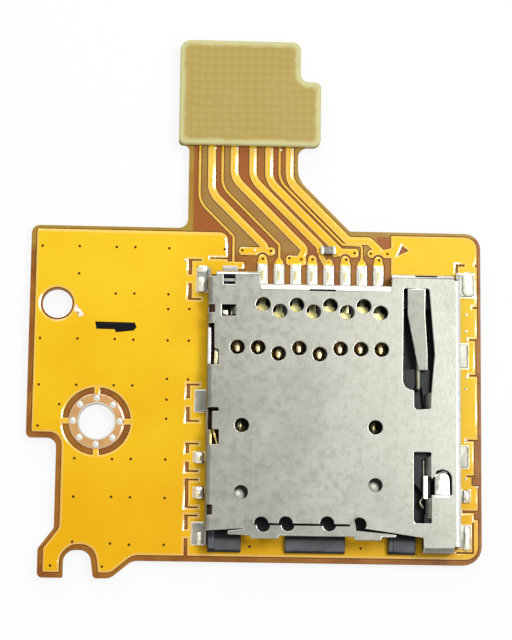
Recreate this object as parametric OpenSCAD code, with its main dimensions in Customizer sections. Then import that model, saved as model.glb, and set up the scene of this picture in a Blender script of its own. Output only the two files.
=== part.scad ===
// Memory card socket of the push-in, push-out kind, soldered to a flexible
// circuit board that ends in a tail with a plug connector underneath.
// Origin: axis of the screw hole, at the underside of the board.
// X runs right, Y runs towards the tail, Z runs up. Millimetres.

/* [Board] */
// Screw hole to the left edge
edge_left = 3.74; // [3.6:0.02:4.4]
// Screw hole to the rear edge
edge_rear = 10.64; // [10.5:0.02:11.4]
// Screw hole to the front edge
edge_front = 7.39; // [7.3:0.01:8.2]
// Board left over right of the socket
margin_right = 1.26; // [1.2:0.02:2]
// Backing sheet thickness
backing_t = 0.225; // [0.21:0.005:0.4]
// Base film thickness
film_t = 0.1; // [0.06:0.01:0.2]
// Copper with its cover film, thickness
copper_t = 0.035; // [0.025:0.005:0.06]
// Copper kept back from the board edge
copper_gap = 0.2; // [0.12:0.02:0.26]
// Screw hole diameter
screw_d = 1.9; // [1.6:0.05:2.2]
// Bare ring round the screw hole, diameter
ring_d = 3; // [2.9:0.05:3.4]
// Locating hole diameter
locate_d = 1.6; // [1.2:0.05:1.9]
// Locating hole, left of the screw hole
locate_x = 2.25; // [2.1:0.05:2.5]
// Locating hole, behind the screw hole
locate_y = 6.35; // [5.5:0.05:7.5]
// Step in the left edge, depth
step_in = 1.62; // [1.4:0.02:1.8]
// Step in the left edge, in front of the screw hole
step_y = 0.91; // [0.8:0.01:1.6]
// Foot in front of the board's front edge
foot_drop = 0.95; // [0.8:0.05:1.4]
// Locating slot in the foot, width
slot_w = 1.4; // [1.2:0.05:1.6]
// Locating slot, left of the screw hole
slot_x = 0.9; // [0.8:0.02:1]

/* [Tail] */
// Left edge of the tail from the screw hole
tail_left = 4.7; // [4.4:0.05:5]
// Tail width
tail_w = 5.96; // [5.6:0.02:6.4]
// Tail length between the board and the stiffened head
tail_len = 4.61; // [4.2:0.05:7]
// Slanted gusset where the tail meets the board
gusset = 2.85; // [2.2:0.05:3.2]
// Stiffened head width
head_w = 7.75; // [7.5:0.05:8.4]
// Stiffened head length
head_len = 5.9; // [5:0.05:7]
// Notch in the head, width
head_notch_w = 1.12; // [0.9:0.02:1.2]
// Notch in the head, length
head_notch_len = 2.25; // [1.6:0.05:2.6]
// Stiffener thickness
stiffener_t = 0.37; // [0.2:0.01:0.6]

/* [Plug] */
// Contacts in each row of the plug
plug_ways = 10; // [6:1:12]
// Plug contact pitch
plug_pitch = 0.4; // [0.35:0.01:0.4]
// Plug width
plug_w = 1.9; // [1.7:0.05:2.4]
// Plug height
plug_h = 0.5; // [0.4:0.02:0.8]

/* [Socket] */
// Left wall of the socket from the screw hole
socket_left = 5.83; // [5.75:0.02:6]
// Rear wall of the socket from the screw hole
socket_rear = 8.08; // [8:0.02:8.2]
// Left wall of the shell to the card
rail_w = 0.6; // [0.56:0.01:0.8]
// Bay of the return spring, between the slider and the right wall
spring_bay = 1.45; // [1.2:0.01:1.7]
// Shell length, rear wall to the straight front edge
shell_len = 13.95; // [13.85:0.01:14.2]
// Shell height above the solder
shell_h = 1.375; // [1.34:0.005:1.6]
// Shell sheet thickness
sheet_t = 0.15; // [0.12:0.01:0.16]
// Outer bend radius of the shell
bend_r = 0.26; // [0.2:0.01:0.34]
// Length of the soldered feet
foot_len = 0.56; // [0.4:0.02:0.7]
// Insulator floor thickness
floor_t = 0.24; // [0.2:0.01:0.28]
// Solder film thickness
solder_t = 0.02; // [0.01:0.005:0.04]

/* [Contacts] */
// Card contact pitch
card_pitch = 1.1; // [1.06:0.01:1.12]
// Soldered tail pitch
tail_pitch = 0.9; // [0.86:0.01:0.92]
// Contact sheet thickness
contact_t = 0.12; // [0.08:0.01:0.14]
// Contact width
contact_w = 0.36; // [0.28:0.01:0.4]
// Height of the contact bump over the floor
bump_h = 0.48; // [0.3:0.02:0.55]
// Bump row in front of the rear wall
bump_back = 4.14; // [4:0.02:4.3]

/* [Card and slider] */
// Card width at its wide end
card_w = 11; // [10.8:0.01:12.4]
// Step in the card's right side, towards its leading end
card_step = 1.3; // [1.2:0.01:1.34]
// Side play of the card
card_play = 0.06; // [0.03:0.01:0.1]
// Slider stroke
stroke = 3.2; // [2.8:0.05:3.3]
// Slider block width
slider_w = 1.56; // [1.5:0.01:1.64]
// Slider block length
slider_len = 7.75; // [7.5:0.05:7.85]
// Running clearance of the slider
slider_play = 0.05; // [0.03:0.01:0.08]
// Cam pin wire diameter
pin_d = 0.25; // [0.2:0.01:0.28]
// Side throw of the cam pin over the stroke
pin_throw = 0.35; // [0.3:0.01:0.38]
// Return spring outer diameter
spring_d = 0.86; // [0.7:0.01:0.9]
// Return spring wire diameter
spring_wire = 0.13; // [0.1:0.01:0.16]
// Return spring turns
spring_turns = 18; // [12:1:22]

/* [Hidden] */
$fn = 48;
arc_steps = 6;
over = 0.5;

// Colours as the photograph shows them
amber = "#d99a1e";
film_brown = "#8a5326";
solder_grey = "#cfcdbd";
steel = "#b4b3a8";
black = "#23272c";
gold = "#c9a24a";

// Levels, from the board up
z_film = backing_t;
z_copper = z_film + film_t;
z_pad = z_copper + copper_t;
z_mount = z_pad + solder_t;
z_floor = z_mount + floor_t;
z_top = z_mount + shell_h;
z_under = z_top - sheet_t;
z_mid = z_top - sheet_t / 2;
z_wall = z_mount + 0.09;

// Socket outline, worked out from the card that it holds
x0 = socket_left;
card_x = x0 + rail_w - card_play;
wide_right = card_x + card_w + 2 * card_play;
lead_right = wide_right - card_step;
sl_x0 = lead_right + slider_play;
sl_x1 = sl_x0 + slider_w;
x1 = sl_x1 + spring_bay + sheet_t;
shell_w = x1 - x0;
in0 = x0 + sheet_t + 0.03;
in1 = x1 - sheet_t - 0.03;
y_back = socket_rear;
y_lip = y_back - 0.78;
y_mouth = y_back - shell_len;
y_block_front = y_mouth - 1.01;
y_ear = y_mouth - 0.96;

// Board outline
x_left = -edge_left;
x_right = x1 + margin_right;
y_rear = edge_rear;
y_front = -edge_front;
y_foot = y_front - foot_drop;
x_step = x_left + step_in;
x_hook = x_step - 0.83;
slot_l = -slot_x - slot_w / 2;
slot_r = -slot_x + slot_w / 2;
slot_end = y_front + 0.53;
tail_right = tail_left + tail_w;
head_y = y_rear + tail_len;
head_end = head_y + head_len;
head_left = tail_left - 0.58;
head_right = head_left + head_w;
head_inner = head_right - head_notch_w;
notch_y = head_end - head_notch_len;

// Contacts
bump_x0 = card_x + card_play + 1;
tail_x0 = bump_x0 + 1.35;
tail_end = y_back + 0.5;
root_z = z_mount + 0.145;
jog_rear = y_back - 2.38;
jog_front = jog_rear - 0.9;
recess_l = tail_x0 - 0.15;
recess_r = tail_x0 + 7 * tail_pitch + 0.59;
function bump_x(i) = bump_x0 + i * card_pitch;
function tail_x(i) = tail_x0 + i * tail_pitch;
function bump_y(i) = y_back - bump_back - (i == 2 || i == 4 ? 0.31 : 0);

// Slider, cam pin and return spring
y_block = y_back - 1.83;
sl_rear = y_block - slider_play - stroke;
sl_front = sl_rear - slider_len;
sl_arm = wide_right + slider_play;
sl_seat = sl_front + 0.6;
sl_right = x1 - sheet_t - 2 * slider_play;
shoulder = sl_front + 2.45;
shoulder_end = sl_front + 0.9;
y_stop = sl_front - slider_play;
leaf_dip = 0.1;
pin_z = z_under - leaf_dip - 0.03 - pin_d / 2;
z_slider = z_floor + 0.04;
sl_top = pin_z - pin_d / 2 - 0.04;
groove_z = z_slider + 0.17;
pin_x = sl_x0 + 0.9;
pivot_y = y_block + 0.65;
pin_y = sl_rear - 1.05;
pin_len = pivot_y - pin_y;
spring_x = sl_x1 + spring_bay / 2;
spring_z = (z_floor + z_under) / 2;
post_r = spring_d / 2 - spring_wire - 0.06;

// Feet of the shell: [side, rear end, front end, added length], side -1 is left
feet = [
    [-1, y_back + 0.3, y_back - 0.95, 0], [-1, y_back - 6.32, y_back - 7.48, 0],
    [-1, y_mouth + 0.55, y_mouth - 0.62, 0.05], [1, y_back + 0.3, y_back - 0.95, 0.28],
    [1, y_back - 3.55, y_back - 4.87, -0.06], [1, y_back - 9.1, y_back - 10.26, -0.06],
    [1, y_back - 11.46, y_back - 12.1, 0.02], [1, y_mouth + 0.6, y_mouth - 0.6, 0.04]];
// Terminals of the detect switch, middle of each
term_y = [y_back - 9.9, y_back - 11.8];
term_w = 0.5;

// Helpers: outlines from corners [x, y, radius], and strips along a path
function unit(v) = v / norm(v);
function flat(p) = [p[0], p[1]];
function flip(v) = [for (i = [len(v) - 1:-1:0]) v[i]];
function left_of(a, b) = unit([a[1] - b[1], b[0] - a[0]]);

function corner(a, b, c) =
    is_undef(b[2]) || b[2] <= 0 ? [flat(b)] :
    let (
        u = unit(flat(a) - flat(b)),
        w = unit(flat(c) - flat(b)),
        half = acos(u * w) / 2,
        hub = flat(b) + unit(u + w) * b[2] / sin(half),
        p = flat(b) + u * b[2] / tan(half) - hub,
        q = flat(b) + w * b[2] / tan(half) - hub,
        start = atan2(p[1], p[0]),
        sweep = atan2(p[0] * q[1] - p[1] * q[0], p * q))
    [for (i = [0:arc_steps])
        hub + b[2] * [cos(start + sweep * i / arc_steps), sin(start + sweep * i / arc_steps)]];

function rounded(pts) =
    let (n = len(pts))
    [for (i = [0:n - 1]) each corner(pts[(i + n - 1) % n], pts[i], pts[(i + 1) % n])];

// Outline moved inwards by m, for corners listed counter-clockwise
function shrunk(pts, m) =
    let (n = len(pts))
    [for (i = [0:n - 1])
        let (
            a = flat(pts[(i + n - 1) % n]),
            b = flat(pts[i]),
            c = flat(pts[(i + 1) % n]),
            s = left_of(a, b),
            t = left_of(b, c),
            moved = b + m * (s + t) / (1 + s * t),
            r = pts[i][2] - m * sign(cross(b - a, c - b)))
        [moved[0], moved[1], max(r, 0)]];

function track(path) =
    let (n = len(path))
    [for (i = [0:n - 1])
        each (i == 0 || i == n - 1 ? [flat(path[i])] : corner(path[i - 1], path[i], path[i + 1]))];

function beside(pts, d) =
    let (n = len(pts))
    [for (i = [0:n - 1])
        let (
            s = left_of(pts[max(i, 1) - 1], pts[max(i, 1)]),
            t = left_of(pts[min(i, n - 2)], pts[min(i, n - 2) + 1]))
        pts[i] + d * (s + t) / (1 + s * t)];

function ribbon(path, w) =
    let (mid = track(path))
    concat(beside(mid, w / 2), flip(beside(mid, -w / 2)));

// Box between two corners
module span(a, b) {
    translate(a)
        cube(b - a);
}

module plate(pts, z, t) {
    translate([0, 0, z])
        linear_extrude(t)
            polygon(pts);
}

// Sheet bent along a path of [y, z, radius], from x = a to x = b
module bent_x(path, t, a, b) {
    translate([a, 0, 0])
        rotate([90, 0, 90])
            linear_extrude(b - a)
                polygon(ribbon(path, t));
}

// Sheet bent along a path of [x, z, radius], from y = a to y = b
module bent_y(path, t, a, b) {
    translate([0, b, 0])
        rotate([90, 0, 0])
            linear_extrude(b - a)
                polygon(ribbon(path, t));
}

// Board outline, counter-clockwise from the front right corner
front_r = 1;
rear_r = 0.85;
function outline(rear) = concat(
    [[x_right, y_front, front_r], [x_right, y_rear, rear_r]],
    rear,
    [[x_left, y_rear, 0.45], [x_left, -step_y, 0.25], [x_step, -step_y, 0.5],
        [x_step, y_front + 1.66, 0.3], [x_hook, y_front + 0.55, 0.3],
        [x_hook, y_foot, 0.25], [slot_l, y_foot, 0.08], [slot_l, slot_end, slot_w * 0.46],
        [slot_r, slot_end, slot_w * 0.46], [slot_r + 0.2, y_foot, 0.2],
        [slot_r + 1.1, y_foot, 0.8], [slot_r + 1.1 + foot_drop * 1.2, y_front, 0.8]]);

head_corners = [
    [head_right, head_y, 0.4], [head_right, notch_y, 0.3], [head_inner, notch_y, 0.45],
    [head_inner, head_end, 0.45], [head_left, head_end, 0.6]];
tail_corners = concat(
    [[tail_right + gusset, y_rear, 0.15], [tail_right, y_rear + gusset, 1.4],
        [tail_right, head_y, 0.5]],
    head_corners,
    [[head_left, head_y, 0.25], [tail_left, head_y, 0.28], [tail_left, y_rear, 0.5]]);

module board_holes() {
    circle(d = screw_d);
    translate([-locate_x, locate_y])
        circle(d = locate_d);
}

// Base film in one piece with the tail
module flex_film() {
    color(film_brown)
        translate([0, 0, z_film])
            linear_extrude(film_t)
                difference() {
                    polygon(rounded(outline(tail_corners)));
                    board_holes();
                }
}

// Stiff sheet under the main board
module backing_sheet() {
    color("#5b4426")
        linear_extrude(backing_t)
            difference() {
                polygon(rounded(outline([])));
                board_holes();
            }
}

// Copper plane: brackets round the feet, a broken ring round the screw hole
slit = 0.19;
fine = 0.09;
disc_y = y_back + 0.96;
disc_r = 0.23;

// Bracket round a left foot, with a bridge of copper at mid
module bracket(rear, front, mid, bridge) {
    x = x0 - foot_len - 0.5;
    for (y = [rear, front])
        translate([x, y - fine / 2])
            square([0.7, fine]);
    for (run = [[rear, mid + bridge], [mid - bridge, front]])
        translate([x, run[1]])
            square([slit, run[0] - run[1]]);
}

module left_cuts() {
    bridge = 0.24;
    bracket(feet[0][1] + 0.5, feet[0][2] - 0.4, y_back - 0.25, bridge);
    bracket(feet[1][1] + 0.3, feet[1][2] - 0.5, y_back - 7, bridge);
    bracket(feet[2][1] + 0.36, y_front, y_mouth - 0.06, bridge);
    bracket(term_y[0] + 0.7, term_y[0] - 0.77, term_y[0] - 0.04, bridge);
    bracket(term_y[1] + 0.67, term_y[1] - 0.8, term_y[1], 0);
    translate([x0 + 0.1, y_back + 0.88])
        square([1.05, fine]);
}

// Cut from x past the shell to the right edge of the copper
module side_cut(x, rear, front) {
    translate([x1 + x, front])
        square([margin_right, rear - front]);
}

module right_cuts() {
    // First foot: a bracket behind it, a cut in front
    translate([x1 - 0.1, feet[3][1] + 0.44])
        square([0.5, 0.12]);
    translate([x1 - 0.1, y_back + 0.24])
        square([0.13, 0.6]);
    side_cut(0.97, feet[3][1] + 0.57, feet[3][1] + 0.42);
    side_cut(0.82, feet[3][2] - 0.54, feet[3][2] - 0.54 - fine);
    // Second foot: closed bracket, open to the edge
    side_cut(0.96, feet[4][1] + 0.29, feet[4][2] - 0.43);
    for (y = [feet[4][1] + 0.29, feet[4][2] - 0.43 + fine])
        side_cut(0.63, y, y - fine);
    // Third foot: bare film beside it and below
    side_cut(0.86, feet[5][1] + 0.37, feet[6][1] + 0.24);
    side_cut(0.72, feet[5][2] - 0.52, feet[6][1] + 0.24);
    for (y = [feet[5][1] + 0.37, feet[5][2] - 0.4])
        side_cut(0.46, y, y - fine);
    // Fourth foot: a line under its pad
    side_cut(0.21, feet[6][2] - 0.44, feet[6][2] - 0.57);
    side_cut(0.85, feet[6][2] - 0.5, feet[6][2] - 0.94);
    // Last foot: a line round its pad
    translate([x1 + 0.75, feet[7][2] - 0.3])
        square([fine, feet[7][1] - feet[7][2] + 0.45]);
    translate([x1 - 0.1, feet[7][2] - 0.3])
        square([0.9, fine]);
}

module routing_gap() {
    left = tail_x(0) - 1.9;
    right = tail_x(7) + 0.7;
    pad_y = y_back + 1.12;
    plane_y = y_rear - copper_gap;
    polygon(rounded([[left, y_lip], [right, y_lip], [right, pad_y], [right - 1.3, pad_y, 0.2],
        [right - 1.3, pad_y + 0.43, 0.2], [right - 0.5, pad_y + 0.43], [right, pad_y + 0.56],
        [right, y_rear + over], [left - 0.5, y_rear + over], [left - 0.5, plane_y],
        [left, plane_y, 0.45]]));
    translate([tail_x(7), disc_y])
        circle(r = disc_r + 0.1);
}

module broken_ring(r_in, r_out, spoke) {
    difference() {
        circle(r = r_out);
        circle(r = r_in);
        square([2 * r_out + over, spoke], center = true);
        square([spoke, 2 * r_out + over], center = true);
    }
}

// Bare margin: wider at the left and front edges
module copper_outline() {
    intersection_for (m = [0, 0.1])
        translate([m, m])
            polygon(rounded(shrunk(outline([]), copper_gap)));
}

module ground_copper() {
    color(amber)
        translate([0, 0, z_copper])
            linear_extrude(copper_t) {
                difference() {
                    copper_outline();
                    circle(d = screw_d);
                    broken_ring(ring_d / 2, ring_d / 2 + 0.33, 0.32);
                    translate([-locate_x, locate_y])
                        circle(d = locate_d + 0.2);
                    routing_gap();
                    left_cuts();
                    right_cuts();
                    translate([tail_x(7) + 1.05, y_rear - 1.3])
                        polygon([[0, 0], [0.6, 0.3], [0.25, 0.55]]);
                }
                run_shape(7);
            }
}

// Eight conductors from the tail, the last one in one piece with the plane
// Each: share of the tail width, width, end of the slant, points after it
chip_x = tail_x(3) + 0.85;
chip_y = y_back + 1.43;
runs = [
    [0.1, 0.12, [tail_x(0) - 1.59, y_back + 2.15], [[tail_x(0) - 1.59, y_back + 0.7]]],
    [0.21, 0.42, [tail_x(0) + 0.1, y_back + 1.65], [[tail_x(0) + 0.1, y_back + 1.3]]],
    [0.307, 0.12, [tail_x(1), y_back + 1.73], [[tail_x(1), y_back + 0.7]]],
    [0.416, 0.42, [tail_x(2) + 0.5, y_back + 1.5], [[tail_x(2) + 0.2, y_back + 0.9]]],
    [0.586, 0.4, [chip_x - 0.41, chip_y + 0.22], [[chip_x - 0.41, chip_y - 0.1]]],
    [0.735, 0.44, [chip_x + 0.62, chip_y], [[chip_x + 0.9, chip_y - 0.2]]],
    [0.83, 0.12, [tail_x(6) - 1.05, y_back + 1.82],
        [[tail_x(6), y_back + 1.78], [tail_x(6), y_back + 0.7]]],
    [0.923, 0.44, [tail_x(7) - 1.64, y_back + 2.04],
        [[tail_x(7) - 0.5, y_back + 2.04], [tail_x(7) + 0.12, y_back + 1.42]]]];
discs = [0, 3, 5, 7];
pad_w = 0.58;
pad_top = y_back + 0.68;

module run_shape(i) {
    r = runs[i];
    x = tail_left + r[0] * tail_w;
    bend = r[2][1] + r[2][0] - x;
    turn = r[1] / 2 + 0.1;
    after = [for (p = r[3]) concat(p, turn)];
    polygon(ribbon(concat([[x, head_y + 1.2], [x, bend, 1.2], concat(r[2], turn)], after), r[1]));
}

// Pad that widens from y = top, where it is w wide
module contact_pad(i, w, top) {
    x = tail_x(i);
    translate([x - pad_w / 2, y_back - 0.62])
        square([pad_w, pad_top - y_back + 0.62]);
    polygon([[x - w / 2, top], [x - 0.31, pad_top - 0.02], [x + 0.31, pad_top - 0.02],
        [x + w / 2, top]]);
}

// Bar with rounded ends between two corners
module bar(a, b) {
    r = 0.19;
    polygon(rounded([[a[0], a[1], r], [b[0], a[1], r], [b[0], b[1], r], [a[0], b[1], r]]));
}

module signal_traces() {
    color(amber)
        translate([0, 0, z_copper])
            linear_extrude(copper_t) {
                difference() {
                    union() {
                        for (i = [0:6])
                            run_shape(i);
                        bar([tail_x(0) - 1.3, y_back + 1.13], [tail_x(0) + 0.68, y_back + 1.58]);
                        bar([tail_x(2) - 0.54, y_back + 0.62], [tail_x(2) + 0.58, y_back + 1.15]);
                        bar([chip_x + 0.2, y_back + 1.11], [tail_x(5) + 0.73, y_back + 1.6]);
                    }
                    for (i = discs)
                        translate([tail_x(i), disc_y])
                            circle(r = disc_r + 0.1);
                }
                for (i = discs)
                    translate([tail_x(i), disc_y])
                        circle(r = disc_r);
                for (i = discs)
                    contact_pad(i, 0.4, disc_y);
                for (i = [1, 2, 4, 6])
                    contact_pad(i, 0.12, disc_y + 0.08);
                translate([chip_x - 0.55, chip_y - 0.2])
                    square([0.35, 0.4]);
                polygon(ribbon([[chip_x - 0.38, chip_y], [chip_x - 0.38, chip_y - 0.25, 0.15],
                    [tail_x(4) - 0.12, y_back + 0.6]], 0.28));
                translate([tail_x(0) - 2.1, y_back + 0.35])
                    square([1.1, 0.4]);
            }
}

// Woven glass plate that stiffens the head of the tail
module tail_stiffener() {
    corners = concat(head_corners, [[head_left, head_y, 0.35]]);
    color("#a08d4e")
        plate(rounded(corners), z_pad, stiffener_t);
}

// Plug connector under the head, drawn pointing down
plug_len = (plug_ways - 1) * plug_pitch + 1.8;
plug_x = (head_left + head_inner) / 2;
plug_y = (head_y + head_end) / 2;
plug_wall = 0.42;
plug_sheet = 0.06;

module under_head() {
    translate([plug_x, plug_y, z_film])
        mirror([0, 0, 1])
            children();
}

module plug_housing() {
    edge = plug_w / 2;
    c = 0.08;
    color(black)
        under_head()
            difference() {
                rotate([90, 0, 90])
                    linear_extrude(plug_len, center = true)
                        polygon([[-edge, 0], [edge, 0], [edge, plug_h - c], [edge - c, plug_h],
                            [c - edge, plug_h], [-edge, plug_h - c]]);
                translate([0, 0, 0.14 + plug_h / 2])
                    cube([plug_len - 1.1, plug_w - 2 * plug_wall, plug_h], center = true);
                for (s = [-1, 1])
                    rotate([90, 0, 90])
                        linear_extrude(plug_len - 1.1, center = true)
                            polygon([[s * (edge - plug_wall), plug_h + c],
                                [s * (edge - plug_wall - c), plug_h],
                                [s * (edge - plug_wall), plug_h - c],
                                [s * (edge - plug_wall + c), plug_h]]);
            }
}

module plug_contacts() {
    edge = plug_w / 2;
    h = plug_sheet / 2;
    loop = [[edge + 0.36, h], [edge + h, h, 0.06], [edge + h, plug_h + h, 0.08],
        [edge - plug_wall - h, plug_h + h, 0.08], [edge - plug_wall - h, 0.22]];
    color(gold)
        under_head()
            for (i = [0:plug_ways - 1], turn = [0, 180])
                rotate([0, 0, turn])
                    translate([(i - (plug_ways - 1) / 2) * plug_pitch, 0, 0])
                        bent_x(loop, plug_sheet, -plug_pitch / 4, plug_pitch / 4);
}

module plug_hold_downs() {
    h = plug_sheet / 2;
    color(solder_grey)
        under_head()
            for (turn = [0, 180])
                rotate([0, 0, turn])
                    bent_y([[plug_len / 2 + 0.34, h], [plug_len / 2 + h, h, 0.06],
                        [plug_len / 2 + h, plug_h - 0.08]], plug_sheet, -0.55, 0.55);
}

// Solder: dots on the screw ring, under the feet and under the contact tails
module ring_solder() {
    color(solder_grey)
        for (a = [0:45:315])
            rotate([0, 0, a])
                translate([(screw_d + ring_d) / 4 + 0.02, 0, z_pad])
                    intersection() {
                        cylinder(r = 0.2, h = 0.1);
                        translate([0, 0, -0.17])
                            sphere(r = 0.25);
                    }
}

module foot_solder(side, rear, front, more = 0) {
    x_wall = side < 0 ? x0 : x1;
    tip = x_wall + side * (foot_len + more);
    h = 0.8 * sheet_t;
    bent_y([[x_wall - side * 0.1, z_pad + solder_t / 2], [tip + side * 0.09, z_pad + solder_t / 2]],
        solder_t, front - 0.04, rear + 0.04);
    translate([0, rear - 0.04, 0])
        rotate([90, 0, 0])
            linear_extrude(rear - front - 0.08)
                polygon([[tip, z_mount], [tip + side * 0.08, z_mount], [tip, z_mount + h]]);
}

module tab_solder() {
    color(solder_grey) {
        for (f = feet)
            foot_solder(f[0], f[1], f[2], f[3]);
        for (y = term_y)
            foot_solder(-1, y + term_w / 2, y - term_w / 2);
        span([x0 + 0.8, y_back - 0.02, z_pad], [x0 + 1.6, y_back + 0.52, z_mount]);
    }
}

module tail_solder() {
    half = contact_w / 2 + 0.07;
    color(solder_grey)
        for (i = [0:7]) {
            span([tail_x(i) - half, tail_end - 0.86, z_pad],
                [tail_x(i) + half, tail_end + 0.14, z_mount]);
            translate([tail_x(i) - contact_w / 2, 0, 0])
                rotate([90, 0, 90])
                    linear_extrude(contact_w)
                        polygon([[tail_end, z_mount], [tail_end + 0.12, z_mount],
                            [tail_end, z_mount + 0.8 * contact_t]]);
        }
}

// Chip part beside the contact pads
chip_len = 0.83;
chip_w = 0.42;
chip_cap = 0.19;

module chip_body() {
    color("#8c7a66")
        span([chip_x - chip_len / 2 + chip_cap, chip_y - chip_w / 2, z_pad + 0.02],
            [chip_x + chip_len / 2 - chip_cap, chip_y + chip_w / 2, z_pad + 0.3]);
}

module chip_end_caps() {
    color(solder_grey)
        for (s = [-1, 1])
            translate([chip_x + s * (chip_len - chip_cap) / 2, chip_y, z_pad + 0.155])
                cube([chip_cap, chip_w + 0.02, 0.31], center = true);
}

// Folded sheet cover
ear_l = sl_x0 + 1.13;
ear_r = x1 - 0.39;
win_l = sl_x0 + 0.63;
win_r = sl_x0 + 1.55;
lip_w = 0.3;

// Holes along the mouth: [x, y, radius] from the front left corner of the plate
mouth_holes = [[2.97, 0.43, 0.37], [4.26, 0.47, 0.36], [6.45, 0.5, 0.36], [8.15, 0.47, 0.36]];

// Plan of everything that is cut away in front of the top plate
module mouth_cut() {
    slot_y = y_mouth + 0.47;
    polygon([[x0 - over, y_mouth], [x0 + 2.02, y_mouth + 0.16], [x0 + 2.57, y_mouth + 0.2],
        [x0 + 2.6, slot_y], [x0 + 7.7, slot_y], [x0 + 7.75, y_mouth + 0.4],
        [x0 + 8.28, y_mouth + 0.28], [ear_l, y_mouth - 0.19], [ear_l, y_ear],
        [ear_r, y_ear], [ear_r, y_mouth - 0.64], [x1 + over, y_mouth - 0.64],
        [x1 + over, y_ear - 1], [x0 - over, y_ear - 1]]);
    for (p = mouth_holes)
        translate([x0 + p[0], y_mouth + p[1]])
            circle(r = p[2]);
}

// Lead-in lip on two necks, turned up a little at the mouth
module lead_lip() {
    y = -shell_len;
    shape = [[1.2, y + 0.02], [2.02, y + 0.13], [2.02, y + 0.6], [2.57, y + 0.6],
        [2.6, y + 0.33], [7.68, y + 0.33], [7.68, y + 0.6], [7.9, y + 0.6], [7.98, y + 0.1],
        [10.1, y - 0.06], [10.1, y - 0.2], [9.34, y - 0.2], [9.3, y - 0.38], [7.88, y - 0.38],
        [7.84, y - 0.2], [3.92, y - 0.2], [3.88, y - 0.36], [2.42, y - 0.36], [2.38, y - 0.2],
        [1.2, y - 0.16]];
    translate([x0, y_back + y + 0.6, z_under])
        rotate([-6, 0, 0])
            translate([0, -y - 0.6, 0])
                linear_extrude(sheet_t)
                    difference() {
                        polygon(shape);
                        for (i = [0:2])
                            translate([mouth_holes[i][0] + 0.12, y + mouth_holes[i][1] - 0.1])
                                circle(r = mouth_holes[i][2] - 0.03);
                    }
}

module shell_skin() {
    r = bend_r - sheet_t / 2;
    half = sheet_t / 2;
    difference() {
        bent_y([[x0 + half, z_wall], [x0 + half, z_mid, r], [x1 - half, z_mid, r],
            [x1 - half, z_wall]], sheet_t, y_mouth - 0.66, y_back - 0.32);
        translate([0, 0, z_wall + 0.45])
            linear_extrude(2 * shell_h)
                mouth_cut();
        span([recess_l, y_lip - 0.3, z_floor], [recess_r, y_back + over, z_top + over]);
    }
    // Rear walls either side of the contact tails, and the low one between them
    for (run = [[x0 + 0.42, recess_l], [recess_r, x1 - 0.36]])
        bent_x([[y_lip - 0.4, z_mid], [y_back - half, z_mid, r], [y_back - half, z_wall]],
            sheet_t, run[0], run[1]);
    bent_x([[y_lip - 0.4, z_mid], [y_lip - 0.22, z_mid, 0.15], [y_lip + 0.06, z_mid - 0.1, 0.12],
        [y_lip + 0.06, z_top - 0.6]], sheet_t, recess_l - 0.05, recess_r + 0.06);
    // Front wall of the ear
    bent_x([[y_mouth, z_mid], [y_ear + half, z_mid, r], [y_ear + half, z_wall + 0.1]],
        sheet_t, ear_l, ear_r);
}

module shell_feet() {
    half = sheet_t / 2;
    for (f = feet) {
        wall = f[0] < 0 ? x0 + half : x1 - half;
        bent_y([[wall, z_mount + 0.5], [wall, z_mount + half, 0.14],
            [wall + f[0] * (foot_len + f[3] + half), z_mount + half]], sheet_t, f[2], f[1]);
    }
    for (run = [[feet[0], 0.32], [feet[3], 0.32]])
        bent_y([[run[0][0] < 0 ? x0 + half : x1 - half, z_mount + 0.5],
            [run[0][0] < 0 ? x0 + half : x1 - half, z_mount + 0.16]],
            sheet_t, y_back - 0.4, run[0][1]);
    // Small foot on the rear wall
    bent_x([[y_back - half, z_mount + 0.5], [y_back - half, z_mount + half, 0.14],
        [y_back + 0.4, z_mount + half]], sheet_t, x0 + 0.82, x0 + 1.56);
}

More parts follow.
